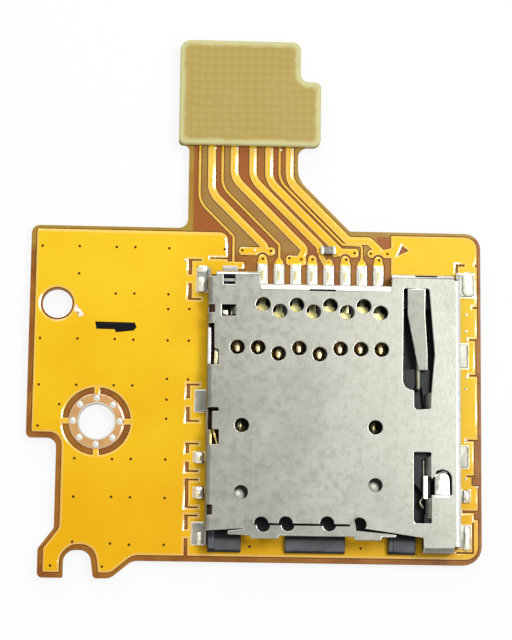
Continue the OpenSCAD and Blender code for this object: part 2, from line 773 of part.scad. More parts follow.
module top_windows() {
    // Access holes over the contact roots and bumps, and the two pilot holes
    for (i = [0:7]) {
        translate([tail_x(i), y_back - 1.81 - (i % 2 == 0 ? 0 : 0.35)])
            circle(r = 0.38);
        translate([bump_x(i), bump_y(i)])
            circle(r = 0.38);
    }
    for (x = [x0 + 1.89, x0 + 8.99])
        translate([x, y_back - 8.32])
            circle(r = 0.37);
    // Window over the slider cam, its leaf is added again below
    translate([sl_x0, y_back])
        polygon(rounded([[0.09, -0.8, 0.1], [0.05, -6.27, 0.5], [0.65, -6.27, 0.1],
            [0.65, -7.33, 0.2], [1.55, -7.26, 0.06], [1.55, -6.36, 0], [1.73, -4.33, 0.5],
            [1.44, -0.8, 0.1]]));
    translate([win_l, y_back - 13.36])
        polygon(rounded([[0, 0, 0.15], [win_r - win_l, 0, 0.05], [win_r - win_l, 3.75, 0.1],
            [0, 3.75, 0.06]]));
    // Opening of the tongue beside the front window
    translate([spring_x - 0.15, y_back])
        polygon(rounded([[-0.5, -11.86], [0.5, -11.86], [0.5, -10.52, 0.48], [-0.5, -10.52, 0.48]]));
    translate([win_r - over, y_back - 11.86])
        square([over + 0.1, 0.86]);
    // Slit in front of the contact tails
    translate([tail_x(3) - 0.2, y_lip - 0.26])
        square([1.36, 0.11]);
    // Rear window with its slit, and the lance window
    translate([x0 + 0.82, y_back - 0.75])
        square([0.6, 0.55]);
    translate([sl_x0 + 0.73, y_back - 0.16])
        square([1.13, 0.09]);
    translate([x0 + 0.74, y_back - 2.46])
        square([0.75, 0.61]);
    // Cuts along the left bend
    translate([x0 - over, y_back - 2.29])
        square([0.37 + over, 0.43]);
    polygon([[x0 - over, y_back - 2.87], [x0 + 0.35, y_back - 2.87], [x0 + 0.37, y_back - 4.23],
        [x0 + 0.6, y_back - 4.28], [x0 + 0.6, y_back - 5.1], [x0 - over, y_back - 5.1]]);
    translate([x0 - over, y_back - 7.6])
        square([0.64 + over, 0.2]);
    translate([x0 - over, y_back - 8.58])
        square([0.3 + over, 1]);
    translate([x0 + 0.18, y_back - 9.36])
        square([0.49, 0.79]);
    translate([x0 + 0.08, y_back - 13.09])
        square([0.29, 0.53]);
}

// Window lip bent down at the right edge, from y = a to y = b
module window_lip(a, b) {
    bent_y([[win_r + 0.25, z_mid], [win_r + 0.03, z_mid, 0.14],
        [win_r - lip_w + 0.06, z_mid - 0.3]], sheet_t, a, b);
}

// Tongue over the return spring, bent down a little at its rear end
module tongue() {
    translate([spring_x - 0.15, y_back - 11.9, z_under])
        rotate([-4, 0, 0])
            linear_extrude(sheet_t)
                polygon(rounded([[-0.4, -0.1], [0.4, -0.1], [0.4, 1.26, 0.39], [-0.4, 1.26, 0.39]]));
}

dimple_r = 0.38;
dimple = 0.13;

module shell() {
    dimples = [[x0 + 1.88, y_back - 11.88], [x0 + 8.99, y_back - 11.4]];
    color(steel)
        difference() {
            union() {
                difference() {
                    union() {
                        shell_skin();
                        shell_feet();
                    }
                    translate([0, 0, z_floor + 0.2])
                        linear_extrude(2 * shell_h)
                            top_windows();
                    for (y = term_y)
                        span([x0 - over, y - term_w / 2 - 0.08, z_mount - over],
                            [x0 + over, y + term_w / 2 + 0.08, z_mount + contact_t + 0.12]);
                }
                lead_lip();
                window_lip(y_back - 7.26, y_back - 6.4);
                window_lip(y_back - 13.1, y_back - 12.02);
                window_lip(y_back - 10.9, y_back - 9.8);
                tongue();
                // Bridge between the two lips beside the tongue
                span([win_r - 0.43, y_back - 12.06, z_under - 0.28],
                    [win_r - 0.19, y_back - 10.86, z_under - 0.02]);
                // Strap across the rear window
                span([x0 + 0.72, y_back - 0.58, z_under - 0.12],
                    [x0 + 1.52, y_back - 0.42, z_under + 0.02]);
                // Leaf that holds the cam pin down
                translate([sl_x0 + 0.77, y_back - 0.77, z_under])
                    rotate([asin(leaf_dip / 4.15), 0, 0])
                        linear_extrude(sheet_t)
                            polygon([[-0.48, 0], [-0.48, -1.45], [0.1, -4.43], [0.61, -4.43],
                                [0.61, -3.55], [0.48, -1.45], [0.48, 0]]);
                // Lance bent down in its window
                bent_y([[x0 + 1.75, z_mid], [x0 + 1.48, z_mid, 0.12], [x0 + 1.24, z_mid - 0.36]],
                    0.8 * sheet_t, y_back - 2.38, y_back - 1.94);
                for (p = dimples)
                    translate([p[0], p[1], z_under - dimple])
                        cylinder(r1 = dimple_r, r2 = dimple_r + 0.1, h = sheet_t);
            }
            for (p = dimples)
                translate([p[0], p[1], z_top - dimple])
                    cylinder(r1 = dimple_r - 0.07, r2 = dimple_r + 0.01, h = sheet_t);
        }
}

// Contact sheet: soldered tail, root in the floor, jog, beam with its bump
function foot_path(i) = [
    [tail_x(i), tail_end], [tail_x(i), jog_rear, 0.25], [bump_x(i), jog_front, 0.25],
    [bump_x(i), bump_y(i) - 0.55]];

module contact(i) {
    half = contact_t / 2;
    root = root_z + half;
    tip = z_floor + bump_h - half;
    by = bump_y(i);
    a = tail_x(i) - contact_w / 2;
    b = bump_x(i) - contact_w / 2;
    color(gold) {
        bent_x([[tail_end, z_mount + half], [y_lip + 0.36, z_mount + half, 0.12],
            [y_lip + 0.14, root, 0.12], [jog_rear + 0.28, root]], contact_t, a, a + contact_w);
        plate(ribbon([[tail_x(i), jog_rear + 0.3], [tail_x(i), jog_rear, 0.25],
            [bump_x(i), jog_front, 0.25], [bump_x(i), jog_front - 0.16]], contact_w),
            root_z, contact_t);
        bent_x([[jog_front, root], [jog_front - 0.16, root, 0.25], [by, tip, 0.2],
            [by - 0.42, tip - 0.28]], contact_t, b, b + contact_w);
    }
}

module contact_1() { contact(0); }
module contact_2() { contact(1); }
module contact_3() { contact(2); }
module contact_4() { contact(3); }
module contact_5() { contact(4); }
module contact_6() { contact(5); }
module contact_7() { contact(6); }
module contact_8() { contact(7); }

// Black moulding: floor, rails, rear blocks and the card mouth
module insulator_floor() {
    bay = [[x0 + 1.95, x0 + 4.29], [x0 + 7.48, x0 + 9.78]];
    difference() {
        polygon([[in0, y_block_front], [sl_x0 + 0.83, y_block_front], [sl_x0 + 0.83, y_mouth],
            [ear_l + 0.06, y_mouth - 0.05], [ear_l + 0.06, y_ear + sheet_t + 0.05],
            [in1 - 0.3, y_ear + sheet_t + 0.05], [in1, y_mouth], [in1, y_back - 0.2],
            [recess_r + 0.11, y_back - 0.2], [recess_r + 0.11, y_lip - 0.05],
            [recess_l - 0.1, y_lip - 0.05], [recess_l - 0.1, y_back - 0.2], [in0, y_back - 0.2]]);
        for (b = bay)
            translate([b[0], y_block_front - over])
                square([b[1] - b[0], y_mouth - y_block_front + over]);
        for (i = [0:7])
            translate([bump_x(i) - contact_w / 2 - 0.1, bump_y(i) - 0.66])
                square([contact_w + 0.2, jog_front - bump_y(i) + 0.56]);
        for (x = [x0 + 1.89, x0 + 8.99])
            translate([x, y_back - 8.32])
                circle(r = 0.24);
    }
}

module insulator_walls() {
    // Left rail, open at the windows and at the detect switch
    for (run = [[y_block_front + 0.1, term_y[1] - 0.55], [y_back - 7.3, y_back - 5.2],
        [y_back - 2.8, y_back - 0.3]])
        span([in0, run[0], z_mount], [card_x, run[1], z_under - 0.04]);
    // Rear wall with the contact roots, and the left rear block
    span([card_x - 0.1, y_lip - 0.45, z_mount], [sl_x0, y_lip - 0.05, z_under - 0.12]);
    span([in0, y_lip - 0.45, z_mount], [recess_l - 0.1, y_back - 0.2, z_under - 0.04]);
    // Right rear block under the cam pin, and the taller seat of the spring
    span([recess_r + 0.11, y_block, z_mount], [sl_x1, y_back - 0.2, sl_top]);
    span([sl_x1, y_block, z_mount], [in1, y_back - 0.2, z_under - 0.04]);
    translate([spring_x, y_block, spring_z])
        rotate([90, 0, 0])
            cylinder(r = post_r, h = 0.5);
    // Rib that guides the slider
    span([sl_x0 + 0.16, shoulder - 0.3, z_mount], [sl_x0 + 0.34, y_block, z_slider + 0.1]);
    // Front stop behind the ear
    span([ear_l + 0.06, y_ear + sheet_t + 0.05, z_mount], [in1 - 0.3, y_stop, z_under - 0.06]);
    // Sills of the card mouth, with a lead-in
    for (s = [[in0, x0 + 1.95, 0.1], [x0 + 4.29, x0 + 7.48, 0.1], [x0 + 9.78, sl_x0 + 0.83, 0.1]])
        translate([s[0], 0, 0])
            rotate([90, 0, 90])
                linear_extrude(s[1] - s[0])
                    polygon([[y_block_front, z_mount], [y_mouth + 0.6, z_mount],
                        [y_mouth + 0.6, z_floor], [y_mouth + 0.1, z_floor + s[2]],
                        [y_block_front + 0.3, z_floor + s[2]], [y_block_front, z_floor - 0.08]]);
    // Post at the left of the mouth and rib at the right
    span([in0, y_block_front + 0.06, z_mount], [card_x, y_mouth, z_under - 0.35]);
    span([x0 + 9.78, y_block_front + 0.12, z_mount], [x0 + 10.04, y_mouth, z_floor + 0.16]);
}

module insulator() {
    color(black)
        difference() {
            union() {
                translate([0, 0, z_mount])
                    linear_extrude(floor_t)
                        insulator_floor();
                insulator_walls();
            }
            for (i = [0:7]) {
                plate(ribbon(foot_path(i), contact_w + 0.06), root_z, contact_t + 0.08);
                span([tail_x(i) - contact_w / 2 - 0.04, y_lip - 0.1, z_mount - over],
                    [tail_x(i) + contact_w / 2 + 0.04, tail_end, root_z + contact_t + 0.08]);
            }
            // Pocket of the detect switch with its two terminal slots
            for (y = term_y)
                span([in0 - over, y - term_w / 2 - 0.05, z_mount - over],
                    [x0 + 0.52, y + term_w / 2 + 0.05, z_mount + contact_t + 0.16]);
            // Pocket under the rear window
            span([x0 + 0.62, y_back - 0.9, z_under - 0.6], [x0 + 1.62, y_back - 0.3, z_top]);
            // Pivot hole of the cam pin
            translate([pin_x, pivot_y, z_slider + 0.06])
                cylinder(d = pin_d + 0.08, h = shell_h);
        }
}

// Detect switch: a bowed spring in the card's way and a fixed blade beside it
module detect_leg(y, x, top) {
    half = contact_t / 2;
    bent_y([[x0 - foot_len, z_mount + half], [x, z_mount + half, 0.1], [x, top]],
        contact_t, y - term_w / 2, y + term_w / 2);
}

module detect_spring() {
    y = term_y[1];
    x = in0 + 0.2;
    low = z_floor + 0.12;
    color(gold) {
        detect_leg(y, x, low + 0.3);
        plate(ribbon([[x, y - term_w / 2], [x, y + 0.6, 0.5], [card_x + 0.22, y + 2.1, 0.5],
            [card_x - 0.12, y + 3.1, 0.3], [card_x - 0.12, y + 3.3]], contact_t), low, 0.4);
    }
}

module detect_terminal() {
    y = term_y[0];
    x = in0 + contact_t / 2;
    low = z_floor + 0.12;
    color(gold) {
        detect_leg(y, x, low + 0.3);
        plate(ribbon([[x, y - term_w / 2], [x, y + 1.35]], contact_t), low, 0.4);
    }
}

// Moving slider with the heart-shaped cam track in its top
lane = pin_d + 0.15;
lane_end = [pin_x + pin_throw, pin_y - stroke];
lane_back = sl_x0 + 0.5;

module cam_lane() {
    loop = [[pin_x, pin_y], lane_end, [pin_x, pin_y - stroke + 0.45],
        [lane_back + 0.02, pin_y - stroke - 0.02], [lane_back, pin_y - 1.2]];
    for (i = [0:4]) {
        polygon(ribbon([loop[i], loop[(i + 1) % 5]], lane));
        translate(loop[i])
            circle(d = lane);
    }
}

module slider() {
    plan = [[sl_x0, sl_rear], [sl_x0, shoulder], [sl_arm, shoulder_end], [sl_arm, sl_front],
        [sl_right, sl_front], [sl_right, sl_seat], [sl_x1, sl_seat], [sl_x1, sl_rear]];
    color("#1c1f23")
        difference() {
            union() {
                plate(plan, z_slider, sl_top - z_slider);
                span([sl_x1 + 0.07, sl_front, z_slider], [sl_right, sl_seat, z_under - 0.12]);
                translate([spring_x, sl_seat, spring_z])
                    rotate([-90, 0, 0])
                        cylinder(r = post_r, h = 0.5);
            }
            translate([0, 0, groove_z])
                linear_extrude(shell_h)
                    cam_lane();
            // Slot over the guide rib
            span([sl_x0 + 0.16 - slider_play, shoulder - 2, z_slider - over],
                [sl_x0 + 0.34 + slider_play, sl_rear + over, z_slider + 0.1 + slider_play]);
            // Slot that grips the card latch
            span([latch_x - 0.09, latch_y - 1.8, z_slider + 0.05],
                [latch_x + 0.09, latch_y + 0.03, z_top]);
        }
}

// Spring leaf on the slider, its nose drops into the notch of the card
latch_x = sl_arm - 0.1;
latch_y = shoulder + 0.4;
module card_latch() {
    nose = shoulder_end - 0.3;
    color(steel)
        plate(ribbon([[latch_x, latch_y], [latch_x, nose + 0.35, 0.12],
            [latch_x - 0.22, nose, 0.12], [latch_x - 0.02, nose - 0.3]], 0.08),
            z_slider + 0.05, sl_top - z_slider);
}

// Wire pin: rear leg turns in the moulding, front leg runs in the cam track
module cam_pin() {
    color(steel)
        translate([pin_x, pivot_y, 0]) {
            translate([0, 0, z_slider + 0.1])
                cylinder(d = pin_d, h = pin_z - z_slider - 0.1);
            translate([0, -pin_len, groove_z + 0.04])
                cylinder(d = pin_d, h = pin_z - groove_z - 0.04);
            translate([0, 0, pin_z])
                rotate([90, 0, 0])
                    cylinder(d = pin_d, h = pin_len);
            for (y = [0, -pin_len])
                translate([0, y, pin_z])
                    sphere(d = pin_d);
        }
}

// Return spring: closed end turns, points worked out along the coil
function coil_rise(t, turns, run, wire) =
    let (dead = 1.06 * wire)
    t < 1 ? dead * t :
    t > turns - 1 ? run - dead * (turns - t) :
    dead + (run - 2 * dead) * (t - 1) / (turns - 2);

module slider_spring() {
    sides = 6;
    steps = 14;
    n = spring_turns * steps;
    r = (spring_d - spring_wire) / 2;
    run = y_block - sl_seat - spring_wire - 0.02;
    points = [for (i = [0:n], k = [0:sides - 1])
        let (
            a = 360 * i / steps,
            b = 360 * k / sides,
            out = r + spring_wire / 2 * cos(b),
            y = coil_rise(i / steps, spring_turns, run, spring_wire) + spring_wire / 2 * sin(b))
        [out * cos(a), y, out * sin(a)]];
    skin = [for (i = [0:n - 1], k = [0:sides - 1])
        let (m = (k + 1) % sides)
        [i * sides + k, (i + 1) * sides + k, (i + 1) * sides + m, i * sides + m]];
    caps = [[for (k = [0:sides - 1]) k], [for (k = [sides - 1:-1:0]) n * sides + k]];
    color(steel)
        translate([spring_x, sl_seat + spring_wire / 2 + 0.01, spring_z])
            polyhedron(points, concat(skin, caps), convexity = 10);
}

flex_film();
backing_sheet();
ground_copper();
signal_traces();
tail_stiffener();
plug_housing();
plug_contacts();
plug_hold_downs();
ring_solder();
tab_solder();
tail_solder();
chip_body();
chip_end_caps();
shell();
insulator();
contact_1();
contact_2();
contact_3();
contact_4();
contact_5();
contact_6();
contact_7();
contact_8();
detect_spring();
detect_terminal();
slider();
slider_spring();
cam_pin();
card_latch();
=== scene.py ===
"""Looks of a push-in, push-out memory card socket on an amber flexible board.

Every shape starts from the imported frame. Pieces are modelled in millimetres,
and finish_piece turns them into the frame's metres.
"""

import logging
import math
from dataclasses import dataclass, field
from enum import Enum
from typing import Any, Callable, Optional, Sequence, Union

import bmesh
import bpy
from mathutils import Matrix, Vector, noise
from mathutils.bvhtree import BVHTree
from mathutils.geometry import delaunay_2d_cdt


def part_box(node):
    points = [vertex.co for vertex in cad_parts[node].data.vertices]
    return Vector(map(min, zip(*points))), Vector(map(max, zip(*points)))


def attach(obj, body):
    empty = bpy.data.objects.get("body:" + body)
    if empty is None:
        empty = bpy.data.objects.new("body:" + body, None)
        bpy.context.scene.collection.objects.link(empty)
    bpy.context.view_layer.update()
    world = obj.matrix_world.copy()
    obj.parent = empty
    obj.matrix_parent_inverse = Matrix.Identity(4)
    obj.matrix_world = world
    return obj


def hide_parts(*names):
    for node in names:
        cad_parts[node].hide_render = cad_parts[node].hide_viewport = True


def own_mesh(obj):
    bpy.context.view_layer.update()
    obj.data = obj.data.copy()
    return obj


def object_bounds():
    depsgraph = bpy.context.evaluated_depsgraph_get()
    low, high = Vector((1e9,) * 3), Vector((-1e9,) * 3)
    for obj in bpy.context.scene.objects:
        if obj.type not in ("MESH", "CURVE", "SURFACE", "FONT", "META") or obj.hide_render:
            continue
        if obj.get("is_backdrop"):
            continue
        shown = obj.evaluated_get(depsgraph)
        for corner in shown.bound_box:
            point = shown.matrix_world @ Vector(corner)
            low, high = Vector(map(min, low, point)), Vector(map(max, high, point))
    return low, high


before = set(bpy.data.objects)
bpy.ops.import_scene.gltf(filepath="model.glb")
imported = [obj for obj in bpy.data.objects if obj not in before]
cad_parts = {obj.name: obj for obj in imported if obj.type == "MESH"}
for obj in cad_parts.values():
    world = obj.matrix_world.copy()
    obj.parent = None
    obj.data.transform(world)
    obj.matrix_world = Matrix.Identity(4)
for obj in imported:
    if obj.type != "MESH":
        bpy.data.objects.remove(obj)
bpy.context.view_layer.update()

MM = 0.001
LOG = logging.getLogger("card_socket")

Mesh = bmesh.types.BMesh
Vert = bmesh.types.BMVert
Edge = bmesh.types.BMEdge
Face = bmesh.types.BMFace
Colour = tuple[float, float, float]
Point = tuple[float, float]
Lump = tuple[Point, Sequence[float]]
WHITE: Colour = (1.0, 1.0, 1.0)
DOWN = Vector((0, 0, -1))

# Millimetres within which two points are one.
WELD = 1e-4

# Degrees below which an edge is shaded smooth: on most pieces, solder, round forms, the spring.
SMOOTH = 38.0
SMOOTH_CAST = 50.0
SMOOTH_ROUND = 60.0
SMOOTH_COIL = 70.0


class Body(str, Enum):
    """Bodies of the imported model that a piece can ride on."""

    BOARD = "board"
    SLIDER = "slider"
    CAM_PIN = "cam_pin"


class Slot(str, Enum):
    """Material slots of the record."""

    FILM = "flex_film"
    BACKING = "backing"
    COPPER = "copper"
    STIFFENER = "stiffener"
    MOULDING = "moulding"
    GOLD = "gold"
    SOLDER = "solder"
    CHIP = "chip"
    STEEL = "steel"
    SLIDER = "slider"


class Value:
    """A shader socket that takes part in Python expressions."""

    def __init__(self, graph: "Graph", socket: bpy.types.NodeSocket) -> None:
        """Keeps the socket and the graph that it belongs to."""
        self.graph = graph
        self.socket = socket

    def __add__(self, other: "Number") -> "Value":
        """Adds a number or value."""
        return self.graph.math("ADD", self, other)

    __radd__ = __add__

    def __sub__(self, other: "Number") -> "Value":
        """Takes a number or value away."""
        return self.graph.math("SUBTRACT", self, other)

    def __rsub__(self, other: "Number") -> "Value":
        """Takes this value away from a number."""
        return self.graph.math("SUBTRACT", other, self)

    def __mul__(self, other: "Number") -> "Value":
        """Multiplies by a number or value."""
        return self.graph.math("MULTIPLY", self, other)

    __rmul__ = __mul__

    def __truediv__(self, other: "Number") -> "Value":
        """Divides by a number or value."""
        return self.graph.math("DIVIDE", self, other)

    def __pow__(self, other: "Number") -> "Value":
        """Raises to a power."""
        return self.graph.math("POWER", self, other)

    def __abs__(self) -> "Value":
        """Gives the size without the sign."""
        return self.graph.math("ABSOLUTE", self)

    def step(self, low: float, high: float) -> "Value":
        """Rises smoothly from 0 at low to 1 at high, or falls where low is the larger.

        Args:
            low: Input at which the result is 0.
            high: Input at which the result is 1.

        Returns:
            The smoothed step.
        """
        made = self.graph.node(
            "ShaderNodeMapRange",
            {"interpolation_type": "SMOOTHSTEP"},
            {"Value": self, "From Min": low, "From Max": high},
        )
        return Value(self.graph, made.outputs["Result"])


Number = Union[float, Value]


class Graph:
    """Adds nodes to one node tree."""

    def __init__(self, tree: bpy.types.NodeTree) -> None:
        """Keeps the tree."""
        self.tree = tree

    def node(self, kind: str, settings: dict[str, Any], inputs: dict[Any, Any]) -> bpy.types.Node:
        """Adds a node.

        Args:
            kind: Blender's type name.
            settings: Properties, set first.
            inputs: Socket names or places, with numbers, colours or values.

        Returns:
            The new node.
        """
        made = self.tree.nodes.new(kind)
        for key, setting in settings.items():
            setattr(made, key, setting)
        for key, given in inputs.items():
            self.feed(made.inputs[key], given)
        return made

    def feed(self, socket: bpy.types.NodeSocket, given: Any) -> None:
        """Links a value to a socket, or sets the socket.

        Args:
            socket: Input to fill.
            given: A value, number, vector or colour.
        """
        if isinstance(given, Value):
            self.tree.links.new(given.socket, socket)
        elif socket.type == "RGBA" and len(given) == 3:
            socket.default_value = (*given, 1.0)
        else:
            socket.default_value = given

    def math(self, operation: str, *terms: Number) -> Value:
        """Adds a Math node and gives its result."""
        made = self.node("ShaderNodeMath", {"operation": operation}, dict(enumerate(terms)))
        return Value(self, made.outputs[0])

    def shown(self) -> Value:
        """1 for rays that show a thing itself, in a view or a reflection; 0 for diffuse light."""
        path = self.node("ShaderNodeLightPath", {}, {})
        kinds = ("Is Camera Ray", "Is Glossy Ray", "Is Transmission Ray")
        camera, glossy, through = (Value(self, path.outputs[kind]) for kind in kinds)
        return self.math("MAXIMUM", self.math("MAXIMUM", camera, glossy), through)


class Shader(Graph):
    """Builds one node material."""

    def __init__(self, name: str) -> None:
        """Starts an empty material with its Principled node.

        Args:
            name: Name of the material.
        """
        self.material = bpy.data.materials.new(name)
        self.material.use_nodes = True
        super().__init__(self.material.node_tree)
        self.tree.nodes.clear()
        self.output = self.node("ShaderNodeOutputMaterial", {}, {})
        self.surface = self.node("ShaderNodeBsdfPrincipled", {}, {})
        self.show(self.surface.outputs["BSDF"])

    def show(self, surface: bpy.types.NodeSocket) -> None:
        """Makes a socket the material's surface."""
        self.tree.links.new(surface, self.output.inputs["Surface"])

    def place(self, stretch: Sequence[float] = (1.0, 1.0, 1.0)) -> Value:
        """Object coordinates in millimetres.

        Args:
            stretch: Factor along each axis; a small one draws a pattern out.

        Returns:
            The vector.
        """
        source = self.node("ShaderNodeTexCoord", {}, {})
        scaled = self.node(
            "ShaderNodeVectorMath",
            {"operation": "MULTIPLY"},
            {0: Value(self, source.outputs["Object"]), 1: [s / MM for s in stretch]},
        )
        return Value(self, scaled.outputs[0])

    def axes(self) -> list[Value]:
        """Object coordinates in millimetres, one value for each axis."""
        split = self.node("ShaderNodeSeparateXYZ", {}, {0: self.place()})
        return [Value(self, socket) for socket in split.outputs]

    def noise(self, scale: float, detail: float = 3.0, stretch: Sequence[float] = (1, 1, 1)) -> Value:
        """Cloudy noise, around one half.

        Args:
            scale: Clouds per millimetre.
            detail: Octaves.
            stretch: Factor along each axis.

        Returns:
            The noise.
        """
        made = self.node(
            "ShaderNodeTexNoise",
            {},
            {"Vector": self.place(stretch), "Scale": scale, "Detail": detail},
        )
        return Value(self, made.outputs["Fac"])

    def specks(self, scale: float, radius: float) -> Value:
        """Small round specks.

        Args:
            scale: Specks per millimetre.
            radius: Size of a speck, as a share of their distance.

        Returns:
            1 inside a speck, 0 outside.
        """
        made = self.node("ShaderNodeTexVoronoi", {}, {"Vector": self.place(), "Scale": scale})
        return Value(self, made.outputs["Distance"]).step(radius, 0.6 * radius)

    def mix(self, factor: Number, low: Any, high: Any) -> Value:
        """Mixes two colours.

        Args:
            factor: 0 gives low, 1 gives high.
            low: A colour or value.
            high: A colour or value.

        Returns:
            The mixed colour.
        """
        made = self.node("ShaderNodeMix", {"data_type": "RGBA"}, {0: factor, 6: low, 7: high})
        return Value(self, made.outputs[2])

    def facing_up(self) -> Value:
        """1 where the surface faces straight up, 0 on a side."""
        source = self.node("ShaderNodeNewGeometry", {}, {})
        split = self.node("ShaderNodeSeparateXYZ", {}, {0: Value(self, source.outputs["Normal"])})
        return Value(self, split.outputs["Z"])

    def attribute(self, name: str) -> Value:
        """A number that the piece's mesh carries."""
        made = self.node("ShaderNodeAttribute", {"attribute_name": name}, {})
        return Value(self, made.outputs["Fac"])

    def bump(self, height: Value, depth: float, strength: float = 1.0) -> Value:
        """Turns a height into a normal.

        Args:
            height: The pattern.
            depth: Millimetres that a height of 1 stands for.
            strength: How much of it shows.

        Returns:
            The normal.
        """
        made = self.node(
            "ShaderNodeBump", {}, {"Height": height, "Distance": depth * MM, "Strength": strength}
        )
        return Value(self, made.outputs["Normal"])

    def set(self, **sockets: Any) -> None:
        """Fills the Principled node's sockets; an underscore stands for a space."""
        for key, given in sockets.items():
            self.feed(self.surface.inputs[key.replace("_", " ")], given)


@dataclass(frozen=True)
class Finish:
    """Base of the finishes: a material that paint fills in."""

    name: str

    def paint(self, shader: Shader) -> None:
        """Fills in the material."""
        raise NotImplementedError

    def material(self) -> bpy.types.Material:
        """The finish as a material, made once."""
        found = bpy.data.materials.get(self.name)
        if found:
            return found
        shader = Shader(self.name)
        self.paint(shader)
        return shader.material


@dataclass(frozen=True)
class RolledSteel(Finish):
    """Satin rolled sheet with fine grain, blotches, smudges and hairline scratches."""

    colour: Colour = (0.231, 0.231, 0.2)
    smudge: Colour = (0.178, 0.175, 0.15)
    bright: Colour = (0.266, 0.266, 0.232)
    roughness: float = 0.4
    scratch: Colour = (0.66, 0.66, 0.61)

    def paint(self, shader: Shader) -> None:
        """Fills in the material."""
        grain = shader.noise(14.0, 4.0, (1.0, 0.25, 1.0))
        cloud = shader.noise(0.3, 4.0)
        blotch = shader.noise(2.6, 5.0)
        speckle = shader.noise(9.0, 4.0)
        hairline = shader.noise(5.0, 5.0, (1.0, 0.03, 1.0)).step(0.66, 0.74)
        pits = shader.specks(1.3, 0.07)
        dirt = cloud.step(0.4, 0.7) * 0.45 + speckle.step(0.5, 0.78) * 0.4 + pits * 0.7
        base = shader.mix(blotch.step(0.36, 0.64), self.colour, self.bright)
        base = shader.mix(blotch.step(0.5, 0.3) * 0.45, base, self.smudge)
        base = shader.mix(dirt, base, self.smudge)
        worn = shader.mix(hairline * 0.06, base, self.scratch)
        height = grain * 0.5 + speckle * 0.4 + blotch * 0.8 - hairline * 0.3 - pits
        shader.set(
            Base_Color=worn,
            Metallic=0.85,
            Roughness=self.roughness + (blotch - 0.5) * 0.22 + (grain - 0.5) * 0.14,
            Normal=shader.bump(height, 0.0035, 0.7),
        )


@dataclass(frozen=True)
class PressedDish(Finish):
    """Bowl of a pressed dimple: steel towards its lower left, and a painted shadow, dark up its far wall
    towards +x and +y.
    """

    centre: Point = (0.0, 0.0)
    radius: float = 0.385
    bright: Colour = (0.25, 0.248, 0.216)
    # Colour of the painted shadow up the far wall.
    tarnish: Colour = (0.012, 0.012, 0.011)

    def paint(self, shader: Shader) -> None:
        """Fills in the material."""
        x, y, _ = shader.axes()
        speckle = shader.noise(9.0, 4.0)
        # Painted shadow: dark with distance from a point towards the lower left, so it covers the far
        # wall; the metal falls there too.
        across = (x - self.centre[0]) / self.radius + 0.35
        along = (y - self.centre[1]) / self.radius + 0.4
        away = (across * across + along * along) ** 0.5
        dark = (away + (speckle - 0.5) * 0.3).step(0.55, 0.95)
        shader.set(
            Base_Color=shader.mix(dark, self.bright, self.tarnish),
            Metallic=0.85 - dark * 0.6,
            Roughness=0.42 + (speckle - 0.5) * 0.2,
            Normal=shader.bump(speckle, 0.003, 0.5),
            Specular_IOR_Level=0.1,
        )


@dataclass(frozen=True)
class CoverCopper(Finish):
    """Copper under amber cover film, with the bare pads that it leaves open."""

    deep: Colour = (0.87, 0.485, 0.003)
    pale: Colour = (0.93, 0.575, 0.010)
    right: Colour = (0.95, 0.65, 0.02)
    front: Colour = (0.86, 0.42, 0.0)
    mottled: Colour = (0.80, 0.37, 0.004)
    grime: Colour = (0.50, 0.20, 0.01)
    pad: Colour = (0.60, 0.34, 0.13)
    stain: Colour = (0.42, 0.21, 0.08)
    rim: Colour = (0.62, 0.60, 0.53)
    gold: Colour = (0.84, 0.47, 0.05)
    tin: Colour = (0.75, 0.73, 0.62)
    ring_r: float = 1.5
    rim_r: float = 1.02
    pads_from: float = 8.42
    pads_to: float = 15.5
    pads_front: float = 7.4
    gold_to: float = 8.8
    tin_to: float = 8.52
    gloss: float = 0.0

    def paint(self, shader: Shader) -> None:
        """Fills in the material."""
        x, y, _ = shader.axes()
        cloud = shader.noise(0.22, 4.0)
        mottle = shader.noise(2.6, 4.0)
        weave = shader.noise(9.0, 3.0)
        grime = shader.noise(0.9, 5.0).step(0.62, 0.86)
        base = shader.mix(cloud.step(0.3, 0.7), self.deep, self.pale)
        base = shader.mix(x.step(8.0, 19.0) * 0.45, base, self.right)
        base = shader.mix(y.step(4.0, 8.0) * x.step(7.0, 3.0) * 0.6, base, self.right)
        base = shader.mix(y.step(1.0, -5.0) * 0.6, base, self.front)
        base = shader.mix(mottle.step(0.5, 0.9) * 0.2, base, self.mottled)
        base = shader.mix(grime * 0.12, base, self.grime)
        radius = (x * x + y * y) ** 0.5
        ring = radius.step(self.ring_r + 0.03, self.ring_r - 0.03)
        rim = radius.step(self.rim_r + 0.03, self.rim_r - 0.03)
        tarnish = shader.mix(mottle.step(0.4, 0.7) * 0.5, self.pad, self.stain)
        colour = shader.mix(ring, base, shader.mix(rim, tarnish, self.rim))
        across = x.step(self.pads_from - 0.05, self.pads_from) * x.step(self.pads_to, self.pads_to - 0.05)
        across = across * y.step(self.pads_front - 0.1, self.pads_front)
        behind = y + (mottle - 0.5) * 0.15
        plated = behind.step(self.gold_to + 0.03, self.gold_to - 0.03) * across
        tinned = behind.step(self.tin_to + 0.03, self.tin_to - 0.03) * across
        colour = shader.mix(plated, colour, shader.mix(tinned, self.gold, self.tin))
        shader.set(
            Base_Color=colour,
            Metallic=ring * 0.35 + plated * 0.5,
            Roughness=0.34 + (mottle - 0.5) * 0.12,
            Normal=shader.bump(cloud * 2.0 + mottle * 0.5 + weave * 0.2, 0.006, 0.5),
            Specular_IOR_Level=0.14,
        )
        if self.gloss:
            shader.set(Coat_Weight=self.gloss, Coat_Roughness=0.12, Coat_IOR=2.0)


